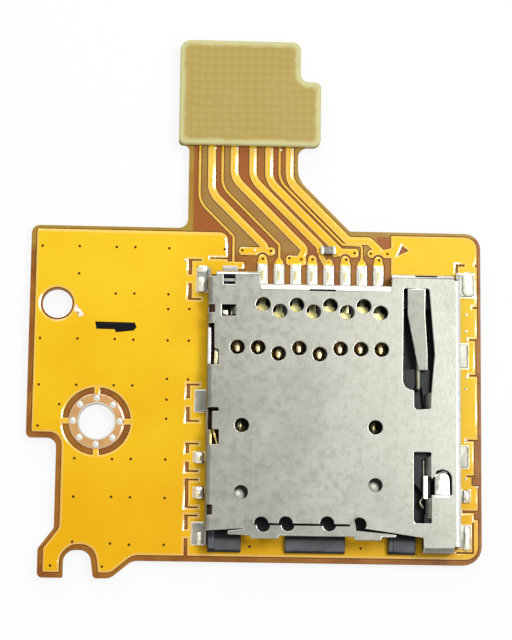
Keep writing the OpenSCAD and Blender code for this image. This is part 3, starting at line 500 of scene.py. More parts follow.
@dataclass(frozen=True)
class CoverSlope(Finish):
    """Foot of the cover film along a copper edge, a darker brown than the film: painted shade along the
    crease.
    """

    # Painted shade: darker than the film along the crease at the copper's edge.
    colour: Colour = (0.19, 0.06, 0.005)
    dark: Colour = (0.11, 0.034, 0.004)

    def paint(self, shader: Shader) -> None:
        """Fills in the material."""
        cloud = shader.noise(0.7, 3.0)
        fine = shader.noise(5.0, 3.0)
        shader.set(
            Base_Color=shader.mix(cloud.step(0.35, 0.65), self.colour, self.dark),
            Roughness=0.5 + (fine - 0.5) * 0.1,
            Normal=shader.bump(cloud + fine * 0.15, 0.01, 0.5),
            Specular_IOR_Level=0.12,
        )


OLIVE: Colour = (0.40, 0.245, 0.03)
KHAKI: Colour = (0.36, 0.205, 0.045)
RUST: Colour = (0.34, 0.098, 0.012)
UMBER: Colour = (0.35, 0.13, 0.018)


@dataclass(frozen=True)
class BaseFilm(Finish):
    """Polyimide film: brown on the board, olive or rust between the conductors of the tail.

    The conductors run straight and then on a slant, so a place between them is told by
    the line that each follows: the larger of straight and slant - y, up to a last place.
    """

    brown: Colour = (0.36, 0.14, 0.010)
    dark: Colour = (0.25, 0.075, 0.006)
    margin: Colour = (0.42, 0.20, 0.012)
    first: Colour = OLIVE
    zones: Sequence[tuple[float, float, float, Colour]] = (
        (4.97, 14.6, 30.0, RUST), (5.30, 17.42, 7.2, KHAKI), (5.95, 18.61, 30.0, RUST),
        (6.53, 19.49, 9.68, KHAKI), (7.18, 20.66, 30.0, RUST), (8.19, 21.65, 30.0, UMBER),
        (9.08, 22.46, 30.0, RUST), (9.65, 23.03, 14.14, UMBER), (10.2, 23.56, 30.0, OLIVE),
        (15.0, 0.0, 30.0, RUST),
    )

    def paint(self, shader: Shader) -> None:
        """Fills in the material."""
        x, y, _ = shader.axes()
        cloud = shader.noise(0.8, 4.0)
        fine = shader.noise(6.0, 3.0)
        tone: Any = self.first
        for straight, slant, last, colour in self.zones:
            line = shader.math("MINIMUM", shader.math("MAXIMUM", slant - y, straight), last)
            tone = shader.mix((x - line).step(-0.05, 0.05), tone, colour)
        tone = shader.mix(x.step(14.0, 14.3) * y.step(10.3, 10.45), tone, OLIVE)
        tone = shader.mix(cloud.step(0.35, 0.75) * 0.3, tone, self.dark)
        base = shader.mix(cloud.step(0.35, 0.7), self.brown, self.dark)
        base = shader.mix(fine.step(0.55, 0.8) * 0.4, base, self.margin)
        base = shader.mix(y.step(9.1, 9.7), base, tone)
        shader.set(
            Base_Color=base,
            Roughness=0.36 + (fine - 0.5) * 0.15,
            Normal=shader.bump(cloud + fine * 0.3, 0.008, 0.5),
            Specular_IOR_Level=0.22,
        )


@dataclass(frozen=True)
class BackingSheet(Finish):
    """Matte brown sheet under the board."""

    colour: Colour = (0.20, 0.105, 0.035)
    strand: Colour = (0.27, 0.15, 0.05)
    shade: Colour = (0.16, 0.08, 0.025)

    def paint(self, shader: Shader) -> None:
        """Fills in the material."""
        fibre = shader.noise(5.0, 4.0, (1.0, 0.3, 1.0))
        cloud = shader.noise(0.5, 3.0)
        base = shader.mix(fibre.step(0.4, 0.7), self.colour, self.strand)
        shader.set(
            Base_Color=shader.mix(cloud * 0.4, base, self.shade),
            Roughness=0.55 + (fibre - 0.5) * 0.2,
            Normal=shader.bump(fibre, 0.01, 0.6),
        )


@dataclass(frozen=True)
class WovenGlass(Finish):
    """Glass laminate: faint weave, pale rim where the cut edge lets light in."""

    colour: Colour = (0.445, 0.33, 0.085)
    thread: Colour = (0.475, 0.36, 0.105)
    gap: Colour = (0.415, 0.302, 0.074)
    rim: Colour = (0.60, 0.57, 0.27)
    milky: Colour = (0.49, 0.365, 0.12)
    pitch: float = 0.44

    def paint(self, shader: Shader) -> None:
        """Fills in the material."""
        x, y, _ = shader.axes()
        wander = (shader.noise(0.9, 3.0) - 0.5) * 0.5
        turn = 2.0 * math.pi / self.pitch
        warp = shader.math("SINE", (x + wander) * turn) * 0.5 + 0.5
        weft = shader.math("SINE", (y + wander) * turn) * 0.5 + 0.5
        cell = warp * weft
        cloud = shader.noise(0.6, 4.0)
        fine = shader.noise(12.0, 3.0)
        base = shader.mix(cell.step(0.25, 0.8), self.colour, self.thread)
        dark = (1.0 - warp) * (1.0 - weft)
        base = shader.mix(dark.step(0.45, 1.0) * 0.7, base, self.gap)
        base = shader.mix(cloud.step(0.45, 0.75) * 0.35, base, self.milky)
        edge = shader.attribute("rim") + (shader.noise(1.4, 3.0) - 0.5) * 0.55
        base = shader.mix(edge.step(0.25, 0.72), base, self.rim)
        shader.set(
            Base_Color=base,
            Roughness=0.5 + (fine - 0.5) * 0.2,
            Normal=shader.bump(cell * 0.7 + fine * 0.3, 0.012, 0.5),
            Specular_IOR_Level=0.25,
        )


@dataclass(frozen=True)
class Moulded(Finish):
    """Matte glass-filled moulding: slate on its upper faces as a painted sheen, black sides and near-black
    inside and along the front as painted shade, with dust specks.
    """

    # The slate of the upper faces is a painted sheen on black moulding.
    colour: Colour = (0.095, 0.1, 0.108)
    pale: Colour = (0.14, 0.145, 0.155)
    black: Colour = (0.011, 0.011, 0.014)
    # These two colours paint shade behind the mouth: near-black, and dark red-brown at the left side.
    inside: Colour = (0.008, 0.007, 0.011)
    warm_shade: Colour = (0.05, 0.013, 0.012)
    dust: Colour = (0.22, 0.22, 0.21)
    mouth: float = -6.2
    front: float = -6.74
    left: float = 6.7
    roughness: float = 0.46

    def paint(self, shader: Shader) -> None:
        """Fills in the material."""
        x, y, _ = shader.axes()
        grain = shader.noise(16.0, 3.0)
        cloud = shader.noise(1.2, 4.0)
        dust = shader.specks(2.4, 0.06)
        # Behind the mouth the moulding gets near-black, and dark red-brown at the left side: painted
        # shade.
        sided = x.step(self.left, self.left - 0.15) * y.step(-5.6, -5.3)
        inside = shader.mix(sided, self.inside, self.warm_shade)
        base = shader.mix(cloud.step(0.35, 0.7), self.colour, self.pale)
        base = shader.mix(dust * 0.35, base, self.dust)
        base = shader.mix(y.step(self.mouth - 0.1, self.mouth + 0.1), base, inside)
        # A near-black strip along the front edge: painted shade.
        base = shader.mix((y + (cloud - 0.5) * 0.1).step(self.front, self.front - 0.06), base, self.black)
        # Faces that look up keep the slate as a painted sheen; the sides get black as painted shade.
        top = shader.facing_up().step(0.88, 0.97)
        shader.set(
            Base_Color=shader.mix(top, self.black, base),
            Roughness=self.roughness + (grain - 0.5) * 0.2,
            Normal=shader.bump(grain, 0.006, 0.6),
            Specular_IOR_Level=0.2,
        )


@dataclass(frozen=True)
class GoldPlate(Finish):
    """Plated spring strip, tinned from one line rearwards."""

    colour: Colour = (0.70, 0.52, 0.17)
    tin: Colour = (0.80, 0.79, 0.68)
    worn: Colour = (0.52, 0.47, 0.20)
    dull: Colour = (0.50, 0.36, 0.10)
    # front: dark brown in front of crown_to, painted shade on the contacts down in the holes.
    front: Sequence[Colour] = ((0.17, 0.06, 0.028), (0.11, 0.04, 0.018))
    rear: Sequence[Colour] = ((0.56, 0.53, 0.27), (0.42, 0.40, 0.2))
    tinned_from: float = 100.0
    middle: float = 8.78
    pitch: float = 0.9
    crown_to: float = 0.0
    metal: float = 0.95

    def paint(self, shader: Shader) -> None:
        """Fills in the material."""
        x, y, _ = shader.axes()
        streak = shader.noise(9.0, 3.0, (1.0, 0.2, 1.0))
        cloud = shader.noise(1.5, 3.0)
        blot = shader.noise(5.0, 3.0)
        gold = shader.mix(cloud.step(0.4, 0.75) * 0.6, self.colour, self.dull)
        tinned = (y + (cloud - 0.5) * 0.12).step(self.tinned_from - 0.05, self.tinned_from + 0.05)
        side = shader.math("WRAP", x - (self.middle - 0.5 * self.pitch), self.pitch, 0.0)
        core = abs(side - 0.5 * self.pitch + (blot - 0.5) * 0.08).step(0.15, 0.08)
        back = y - self.tinned_from + (blot - 0.5) * 0.3
        patch = core * back.step(0.3, 0.36) * back.step(0.9, 0.8) * 0.85
        tin = shader.mix(patch, self.tin, self.worn)
        # In front of crown_to the strip is painted dark brown, painted shade in the holes over the bumps;
        # behind it pale khaki.
        if self.crown_to:
            front = shader.mix(cloud.step(0.4, 0.7), *self.front)
            rear = shader.mix(cloud.step(0.4, 0.75), *self.rear)
            gold = shader.mix(y.step(self.crown_to - 0.1, self.crown_to + 0.1), front, rear)
        shader.set(
            Base_Color=shader.mix(tinned, gold, tin),
            Metallic=self.metal - tinned * 0.3,
            Roughness=0.28 + (streak - 0.5) * 0.16,
            Normal=shader.bump(streak, 0.003, 0.5),
        )


@dataclass(frozen=True)
class Solder(Finish):
    """Set solder: pale, satin, slightly frosted."""

    colour: Colour = (0.74, 0.73, 0.65)
    shade: Colour = (0.55, 0.54, 0.47)
    flux: Colour = (0.52, 0.42, 0.22)

    def paint(self, shader: Shader) -> None:
        """Fills in the material."""
        lump = shader.noise(3.2, 3.0)
        frost = shader.noise(18.0, 3.0)
        residue = shader.noise(1.6, 4.0).step(0.58, 0.8)
        base = shader.mix(lump.step(0.4, 0.65), self.colour, self.shade)
        shader.set(
            Base_Color=shader.mix(residue * 0.3, base, self.flux),
            Metallic=0.7,
            Roughness=0.3 + (frost - 0.5) * 0.25,
            Normal=shader.bump(lump + frost * 0.25, 0.02, 0.6),
        )


@dataclass(frozen=True)
class Ceramic(Finish):
    """Fired ceramic of the chip part, with near-black sides as painted shade."""

    colour: Colour = (0.20, 0.19, 0.165)
    pale: Colour = (0.27, 0.255, 0.22)
    side: Colour = (0.03, 0.024, 0.02)

    def paint(self, shader: Shader) -> None:
        """Fills in the material."""
        grain = shader.noise(14.0, 4.0)
        # Faces that look up keep the body's colour; the sides get near-black as painted shade.
        top = shader.facing_up().step(0.8, 0.97)
        body = shader.mix(grain.step(0.35, 0.7), self.colour, self.pale)
        shader.set(
            Base_Color=shader.mix(top, self.side, body),
            Roughness=0.42 + (grain - 0.5) * 0.2,
            Normal=shader.bump(grain, 0.006, 0.5),
        )


@dataclass(frozen=True)
class Flecked(Finish):
    """Dark coat with paler flecks or streaks."""

    colour: Colour
    fleck: Colour
    scale: float
    detail: float
    band: Point
    spread: float
    depth: float
    specular: float
    stretch: Sequence[float] = (1.0, 1.0, 1.0)

    def paint(self, shader: Shader) -> None:
        """Fills in the material."""
        flecks = shader.noise(self.scale, self.detail, self.stretch)
        shader.set(
            Base_Color=shader.mix(flecks.step(*self.band), self.colour, self.fleck),
            Roughness=0.5 + (flecks - 0.5) * self.spread,
            Normal=shader.bump(flecks, self.depth, 0.5),
            Specular_IOR_Level=self.specular,
        )


STEEL = RolledSteel("rolled_steel")
# Rounded edges and the lance plate: polished steel, brighter than the plate as a painted highlight.
EDGE_HIGHLIGHT_STEEL = RolledSteel("rolled_edge_painted_highlight", (0.38, 0.38, 0.34), (0.32, 0.32, 0.28), (0.44, 0.44, 0.4), 0.2)
# Near-white steel on the folds that face right and rear, the mouth's crescents, the lance's left end and
# the side strip: a painted highlight.
FOLD_HIGHLIGHT_STEEL = RolledSteel("rolled_fold_painted_highlight", (0.72, 0.72, 0.67), (0.6, 0.6, 0.55), (0.8, 0.8, 0.75), 0.25)
# Darker steel on faces of the plate that tilt a little, the leaf among them: painted shade.
LEAF_SHADE_STEEL = RolledSteel("leaf_steel_painted_shade", (0.172, 0.17, 0.148), (0.13, 0.127, 0.108), (0.2, 0.2, 0.17), 0.42)
SPRING_STEEL = RolledSteel("spring_steel", (0.42, 0.42, 0.38), (0.28, 0.28, 0.25), (0.5, 0.5, 0.45), 0.3)
WIRE = RolledSteel("pin_wire", (0.22, 0.21, 0.155), (0.12, 0.115, 0.08), (0.30, 0.29, 0.21), 0.45)
COPPER = CoverCopper("cover_copper")
SHOULDER = CoverCopper("cover_shoulder", gloss=1.0)
SLOPE = CoverSlope("cover_foot")
FILM = BaseFilm("polyimide_film")
BACKING = BackingSheet("backing_sheet")
WEAVE = WovenGlass("woven_glass")
BLACK = Moulded("black_moulding")
# The slider lies behind the mouth and takes the near-black inside colour: painted shade.
SLIDER_BLACK = Moulded("slider_moulding", inside=(0.014, 0.014, 0.018), roughness=0.4)
TIN = Solder("solder")
CREAM = Solder("cream_solder", (0.84, 0.83, 0.68), (0.64, 0.62, 0.47))
GOLD_SPOT = GoldPlate("gold_spot", (0.86, 0.74, 0.38))
SCUFF = Solder("scuffed_film", (0.86, 0.80, 0.70), (0.55, 0.33, 0.16))
CERAMIC = Ceramic("chip_ceramic")
INK = Flecked(
    "pen_ink", (0.006, 0.006, 0.008), (0.05, 0.03, 0.008), 5.0, 4.0, (0.6, 0.85), 0.3, 0.004, 0.06,
    (0.25, 1.0, 1.0),
)
ROOT_GOLD = GoldPlate("root_gold", (0.54, 0.49, 0.22))
# Pale gold of the domes on the contact bumps and under the plain holes: a painted highlight.
CROWN_HIGHLIGHT_GOLD = GoldPlate("crown_painted_highlight", (1.0, 0.88, 0.5), metal=0.6)
CREAM_GOLD = GoldPlate("cream_gold", (0.95, 0.88, 0.6))
VIA = Flecked(
    "via_mouth", (0.055, 0.022, 0.004), (0.15, 0.065, 0.008), 20.0, 2.0, (0.4, 0.7), 0.2, 0.006, 0.1
)


def merged(node: str, planar: bool = True) -> Mesh:
    """Copies a CAD node with its loose triangles joined.

    Args:
        node: Name of the node.
        planar: Whether triangles in one plane become one face.

    Returns:
        The copy in millimetres, which the caller frees by finishing it.
    """
    shape = bmesh.new()
    shape.from_mesh(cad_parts[node].data)
    bmesh.ops.scale(shape, vec=[1.0 / MM] * 3, verts=shape.verts[:])
    bmesh.ops.remove_doubles(shape, verts=shape.verts[:], dist=WELD)
    if planar:
        bmesh.ops.dissolve_limit(
            shape, angle_limit=math.radians(0.8), verts=shape.verts[:], edges=shape.edges[:],
        )
    shape.normal_update()
    return shape


def cut(shape: Mesh, place: Sequence[float], across: Sequence[float], **more: Any) -> dict:
    """Cuts a mesh along a plane.

    Args:
        shape: Mesh to cut.
        place: A point of the plane.
        across: The plane's normal.
        more: Further choices of the operator.

    Returns:
        What the operator made.
    """
    everything = shape.verts[:] + shape.edges[:] + shape.faces[:]
    return bmesh.ops.bisect_plane(shape, geom=everything, plane_co=place, plane_no=across, **more)


def sliced(shape: Mesh, pitch: float) -> None:
    """Cuts a mesh at even steps along X and Y, so that no face winds round many holes.

    Args:
        shape: Mesh to cut.
        pitch: Largest distance between two cuts.
    """
    for axis in (Vector((1, 0, 0)), Vector((0, 1, 0))):
        places = [vert.co.dot(axis) for vert in shape.verts]
        low, high = min(places), max(places)
        steps = math.ceil((high - low) / pitch)
        for number in range(1, steps):
            cut(shape, axis * (low + (high - low) * number / steps), axis, dist=WELD)


def roomy(edge: Edge, width: float, reach: float = 1.7, straight: float = 0.82) -> bool:
    """Tells whether a rounding of a width fits at both ends of an edge.

    Args:
        edge: The edge.
        width: Width of the rounding.
        reach: Widths from which a neighbouring edge is long enough.
        straight: Cosine from which a neighbouring edge goes on straight.

    Returns:
        True where no short edge turns away from it.
    """
    for vert in edge.verts:
        along = (edge.other_vert(vert).co - vert.co).normalized()
        for other in vert.link_edges:
            if other is edge or other.calc_length() > reach * width:
                continue
            if abs(along.dot((other.other_vert(vert).co - vert.co).normalized())) < straight:
                return False
    return True


def soften(
    shape: Mesh, width: float, angle: float = 40.0, segments: int = 2, place: int = 0,
    under: bool = True, folded: float = 2.6,
) -> None:
    """Rounds every edge that is sharper than an angle and has room.

    Args:
        shape: Mesh to change.
        width: Width of the rounding.
        angle: Degrees between two faces from which their edge is rounded.
        segments: Faces across the rounding.
        place: Material place that the rounded faces get.
        under: Whether edges of a face that looks down are rounded too.
        folded: Radians from which two faces lie back to back and stay as they are.
    """
    limit = math.radians(angle)
    sharp = [
        edge for edge in shape.edges
        if len(edge.link_faces) == 2 and limit < edge.calc_face_angle(0.0) < folded
        and roomy(edge, width)
        and (under or min(face.normal.z for face in edge.link_faces) > -0.9)
    ]
    made = bmesh.ops.bevel(
        shape, geom=sharp, offset=width, offset_type="OFFSET", segments=segments,
        profile=0.5, affect="EDGES", clamp_overlap=False, material=-1,
    )
    for face in made["faces"]:
        face.material_index = place


class Drape:
    """Lays cover film over the edges of a copper sheet: a rounded shoulder and a foot.

    RINGS, FOOT and MIDDLE are heights as shares of the thickness: where the sides are cut, and
    where the two cuts end up. UPRIGHT and FLAT tell sides from tops by their normal. TAKEN is
    the share of the copper's width, or of a bend's room, that the rounding may take. MITRE is
    the least cosine at a corner, and EVENING how often the insets are evened along the outline.
    """

    RINGS = (0.3, 0.6)
    FOOT = 0.1
    MIDDLE = 0.66
    UPRIGHT = 0.3
    FLAT = 0.9
    TAKEN = 0.4
    MITRE = 0.55
    EVENING = 3

    def __init__(
        self, shape: Mesh, shoulder: Callable[[Vector], float], skirt: float
    ) -> None:
        """Takes the sheet's measures.

        Args:
            shape: Flat sheet with upright sides.
            shoulder: Width of the rounding inside the edge at a place, where there is room.
            skirt: How far the foot goes out.
        """
        self.shape = shape
        self.shoulder = shoulder
        self.skirt = skirt
        self.low = min(vert.co.z for vert in shape.verts)
        self.high = max(vert.co.z for vert in shape.verts)
        buried = [face for face in shape.faces if any(self._buried(edge) for edge in face.edges)]
        buried = [face for face in buried if abs(face.normal.z) < self.UPRIGHT]
        bmesh.ops.delete(shape, geom=buried, context="FACES")
        self.solid = BVHTree.FromBMesh(shape)

    @staticmethod
    def _buried(edge: Edge) -> bool:
        """Tells whether the sheet goes on flat across an edge that a wall inside it has."""
        flat = [face for face in edge.link_faces if abs(face.normal.z) > Drape.FLAT]
        return len(flat) == 2 and len(edge.link_faces) > 2

    def level(self, share: float) -> float:
        """Height at a share of the sheet's thickness."""
        return self.low + share * (self.high - self.low)

    def lay(self, fixed: Callable[[Vector], bool]) -> None:
        """Shapes the edges; top, shoulder and foot get the first three materials.

        Args:
            fixed: Tells which points stay where they are.
        """
        shape = self.shape
        upright = [face for face in shape.faces if abs(face.normal.z) < self.UPRIGHT]
        walls = [face for face in upright if face.normal.length > 0.5]
        bmesh.ops.join_triangles(
            shape, faces=walls, angle_face_threshold=0.02, angle_shape_threshold=3.2
        )
        tops = [face for face in shape.faces if min(v.co.z for v in face.verts) > self.high - WELD]
        bmesh.ops.delete(shape, geom=tops, context="FACES_ONLY")
        for share in self.RINGS:
            cut(shape, (0.0, 0.0, self.level(share)), (0.0, 0.0, 1.0))
        shape.normal_update()
        self._move(self._columns(fixed))
        self._close()

    def _columns(self, fixed: Callable[[Vector], bool]) -> dict[Point, tuple[Vector, float]]:
        """Works out how far the edge goes in at each point of the outline.

        Args:
            fixed: Tells which points stay where they are.

        Returns:
            Outward direction and inset of each point, by its place in the plan.
        """
        outs: dict[Vert, Vector] = {}
        insets: dict[Vert, float] = {}
        for vert in self.shape.verts:
            if vert.co.z < self.high - WELD:
                continue
            sides = [face.normal.copy() for face in vert.link_faces]
            out = sum(sides, Vector())
            if out.length < 1e-6 or fixed(vert.co):
                outs[vert], insets[vert] = Vector(), 0.0
                continue
            out.normalize()
            outs[vert] = out / max(self.MITRE, min(out.dot(side) for side in sides))
            room = self.TAKEN * self._room(vert, out)
            insets[vert] = min(self.shoulder(vert.co), room, self._bend(vert))
        for _ in range(self.EVENING):
            for vert in list(insets):
                beside = [
                    insets[edge.other_vert(vert)] for edge in vert.link_edges if edge.is_boundary
                ]
                if beside:
                    mean = (insets[vert] + sum(beside)) / (1 + len(beside))
                    insets[vert] = min(insets[vert], mean)
        return {self._key(vert): (outs[vert], insets[vert]) for vert in outs}

    @staticmethod
    def _key(vert: Vert) -> Point:
        """Place of a point in the plan, as a dictionary's key."""
        return (round(vert.co.x, 3), round(vert.co.y, 3))

    def _room(self, vert: Vert, out: Vector) -> float:
        """Width of the copper behind a point of the outline.

        Args:
            vert: Point of the upper outline.
            out: Its outward direction.

        Returns:
            The distance to the opposite side.
        """
        start = Vector((vert.co.x, vert.co.y, self.level(0.5))) - out * 0.004
        hit = self.solid.ray_cast(start, -out)
        return hit[3] if hit[3] is not None else math.inf

    @staticmethod
    def _bend(vert: Vert) -> float:
        """Largest inset that an outward bend of the outline leaves room for.

        Args:
            vert: Point of the upper outline.

        Returns:
            The inset, endless where the outline is straight or bends inwards.
        """
        edges = [edge for edge in vert.link_edges if edge.is_boundary]
        if len(edges) != 2:
            return 0.0
        first, second = (edge.link_faces[0].normal for edge in edges)
        turn = first.angle(second, 0.0)
        ahead = edges[1].other_vert(vert).co - vert.co
        if turn < 0.05 or ahead.dot(first) > 0.0:
            return math.inf
        return Drape.TAKEN * (edges[0].calc_length() + edges[1].calc_length()) / turn

    def _move(self, columns: dict[Point, tuple[Vector, float]]) -> None:
        """Moves each ring of the sides to its place.

        Args:
            columns: Outward direction and inset, by place in the plan.
        """
        third, second = (self.level(share) for share in self.RINGS)
        for vert in self.shape.verts:
            out, inset = columns.get(self._key(vert), (Vector(), 0.0))
            if vert.co.z > self.high - WELD:
                vert.co -= out * inset
            elif abs(vert.co.z - second) < WELD:
                vert.co -= out * (0.5 * inset)
                vert.co.z = self.level(self.MIDDLE)
            elif abs(vert.co.z - third) < WELD:
                vert.co.z = self.level(self.FOOT)
            else:
                vert.co += out * self.skirt

    def _close(self) -> None:
        """Fills the top again and sets materials and sharp edges."""
        shape = self.shape
        rim = [edge for edge in shape.edges if edge.is_boundary]
        for edge in shape.edges:
            edge.smooth = True
        for edge in rim:
            edge.smooth = False
        for face in shape.faces:
            low = min(vert.co.z for vert in face.verts)
            face.material_index = 1 if low > self.level(0.5 * self.FOOT) else 2
        self._fill(rim)
        foot = self.level(self.FOOT)
        for edge in shape.edges:
            if all(vert.co.z < foot + WELD for vert in edge.verts):
                edge.smooth = False
        shape.normal_update()

    def _fill(self, rim: Sequence[Edge]) -> None:
        """Closes the top between its outlines, and leaves its openings.

        Args:
            rim: Edges of the outlines.
        """
        corners = list(dict.fromkeys(vert for edge in rim for vert in edge.verts))
        number = {vert: index for index, vert in enumerate(corners)}
        loops = [edge.link_loops[0] for edge in rim]
        pairs = [(number[loop.link_loop_next.vert], number[loop.vert]) for loop in loops]
        flat = [vert.co.to_2d() for vert in corners]
        points, edges, faces, sources, lines, _ = delaunay_2d_cdt(flat, pairs, [], 0, 1e-6)
        verts = [
            corners[source[0]] if source else self.shape.verts.new((*point, self.high))
            for point, source in zip(points, sources)
        ]
        turns: dict[tuple[int, int], int] = {}
        for (start, end), line in zip(edges, lines):
            for source in line:
                first, last = pairs[source]
                along = 1 if (flat[last] - flat[first]).dot(points[end] - points[start]) > 0.0 else -1
                turns[start, end] = turns.get((start, end), 0) + along
                turns[end, start] = turns.get((end, start), 0) - along
        sides = [list(zip(face, face[1:] + face[:1])) for face in faces]
        owner = {side: index for index, around in enumerate(sides) for side in around}
        winding = {
            index: turns.get(side, 0) for side, index in owner.items() if side[::-1] not in owner
        }
        queue = list(winding)
        while queue:
            index = queue.pop()
            for side in sides[index]:
                other = owner.get(side[::-1])
                if other is not None and other not in winding:
                    winding[other] = winding[index] - turns.get(side, 0)
                    queue.append(other)
        for index, face in enumerate(faces):
            if winding[index] > 0:
                self.shape.faces.new([verts[corner] for corner in face]).material_index = 0


def finish_piece(
    shape: Mesh, name: str, finishes: Sequence[Finish], stands_for: Sequence[str] = (),
    smooth: Optional[float] = SMOOTH, body: Body = Body.BOARD,
) -> bpy.types.Object:
    """Makes an object of a mesh, dresses it and ties it to its body.

    Args:
        shape: The mesh in millimetres, which is freed.
        name: Name of the piece.
        finishes: Finish of each material place.
        stands_for: CAD nodes that the piece is shown for.
        smooth: Degrees below which an edge is shaded smooth; None keeps the mesh's own marks.
        body: Body that the piece rides on.

    Returns:
        The object.
    """
    bmesh.ops.scale(shape, vec=[MM] * 3, verts=shape.verts[:])
    mesh = bpy.data.meshes.new(name)
    shape.to_mesh(mesh)
    shape.free()
    mesh.polygons.foreach_set("use_smooth", [True] * len(mesh.polygons))
    if smooth is not None:
        mesh.set_sharp_from_angle(angle=math.radians(smooth))
    for finish in finishes:
        mesh.materials.append(finish.material())
    made = bpy.data.objects.new(name, mesh)
    bpy.context.scene.collection.objects.link(made)
    evened = made.modifiers.new("even_normals", "WEIGHTED_NORMAL")
    evened.keep_sharp = True
    evened.weight = 100
    split = made.modifiers.new("triangles", "TRIANGULATE")
    split.min_vertices = 5
    split.keep_custom_normals = True
    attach(made, body.value)
    if stands_for:
        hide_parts(*stands_for)
    LOG.info("%s: %d faces on %s", name, len(mesh.polygons), body.value)
    return made


def plain_piece(
    node: str, name: str, finish: Finish, edge: float = 0.0, body: Body = Body.BOARD,
    smooth: float = SMOOTH,
) -> bpy.types.Object:
    """Shows a CAD node in its own form, with its edges rounded.

    Args:
        node: Name of the node.
        name: Name of the piece.
        finish: Its finish.
        edge: Width of the rounding.
        body: Body that the piece rides on.
        smooth: Degrees below which an edge is shaded smooth.

    Returns:
        The object.
    """
    shape = merged(node)
    if edge:
        soften(shape, edge)
    return finish_piece(shape, name, [finish], [node], smooth, body)


def dome(
    centre: Vector, half: Sequence[float], lump: float, seed: float, square: float = 0.0
) -> Mesh:
    """A lumpy half ball or pillow that lies on a flat place.

    Args:
        centre: Middle of its foot.
        half: Half sizes along X, Y and Z.
        lump: How far its surface wanders, as a share of its size.
        seed: Place in the noise.
        square: 0 for a round foot, 1 for a square one.

    Returns:
        The mesh, closed at its foot.
    """
    shape = bmesh.new()
    bmesh.ops.create_uvsphere(shape, u_segments=28, v_segments=16, radius=1.0)
    for vert in shape.verts:
        longer = max(abs(vert.co.x), abs(vert.co.y))
        if longer > 1e-6:
            wider = (vert.co.to_2d().length / longer) ** square
            vert.co = Vector((vert.co.x * wider, vert.co.y * wider, vert.co.z))
        vert.co *= 1.0 + lump * noise.noise(vert.co * 1.7 + Vector((seed, 0.3 * seed, 2.0)))
    halved = cut(shape, (0, 0, 0), (0, 0, 1), clear_inner=True)
    rim = [item for item in halved["geom_cut"] if isinstance(item, Edge)]
    bmesh.ops.contextual_create(shape, geom=rim)
    bmesh.ops.recalc_face_normals(shape, faces=shape.faces[:])
    bmesh.ops.scale(shape, vec=half, verts=shape.verts[:])
    bmesh.ops.translate(shape, vec=centre, verts=shape.verts[:])
    return shape


def lumps(
    rows: Sequence[tuple[Vector, Sequence[float], float]], name: str, finish: Finish,
    wander: float, square: float = 0.0,
) -> None:
    """Makes one piece of several domes.

    Args:
        rows: Foot, half sizes and place in the noise of each dome.
        name: Name of the piece.
        finish: Its finish.
        wander: How far the surfaces wander, as a share of their size.
        square: 0 for round feet, 1 for square ones.
    """
    domes = [dome(foot, half, wander, seed, square) for foot, half, seed in rows]
    finish_piece(joined(domes), name, [finish], smooth=SMOOTH_ROUND)


def joined(shapes: Sequence[Mesh]) -> Mesh:
    """Puts several meshes into one.

    Args:
        shapes: Meshes, which are freed.

    Returns:
        The mesh that holds them all.
    """
    whole = bmesh.new()
    for shape in shapes:
        carrier = bpy.data.meshes.new("carrier")
        shape.to_mesh(carrier)
        shape.free()
        whole.from_mesh(carrier)
        bpy.data.meshes.remove(carrier)
    return whole


def decal(corners: Sequence[Point], level: float, rise: float) -> Mesh:
    """A thin flat patch.

    Args:
        corners: Its outline, counter-clockwise.
        level: Height of the surface that it lies on.
        rise: Its thickness.

    Returns:
        The mesh.
    """
    shape = bmesh.new()
    ring = [shape.verts.new((x, y, level)) for x, y in corners]
    face = shape.faces.new(ring)
    top = bmesh.ops.extrude_face_region(shape, geom=[face])
    raised = [item for item in top["geom"] if isinstance(item, Vert)]
    bmesh.ops.translate(shape, vec=(0, 0, rise), verts=raised)
    bmesh.ops.recalc_face_normals(shape, faces=shape.faces[:])
    return shape


@dataclass
class Levels:
    """Heights on the board that several assemblies share, read from the frame."""

    copper: float = field(init=False)

    def __post_init__(self) -> None:
        """Reads the heights."""
        self.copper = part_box("ground_copper")[1].z / MM


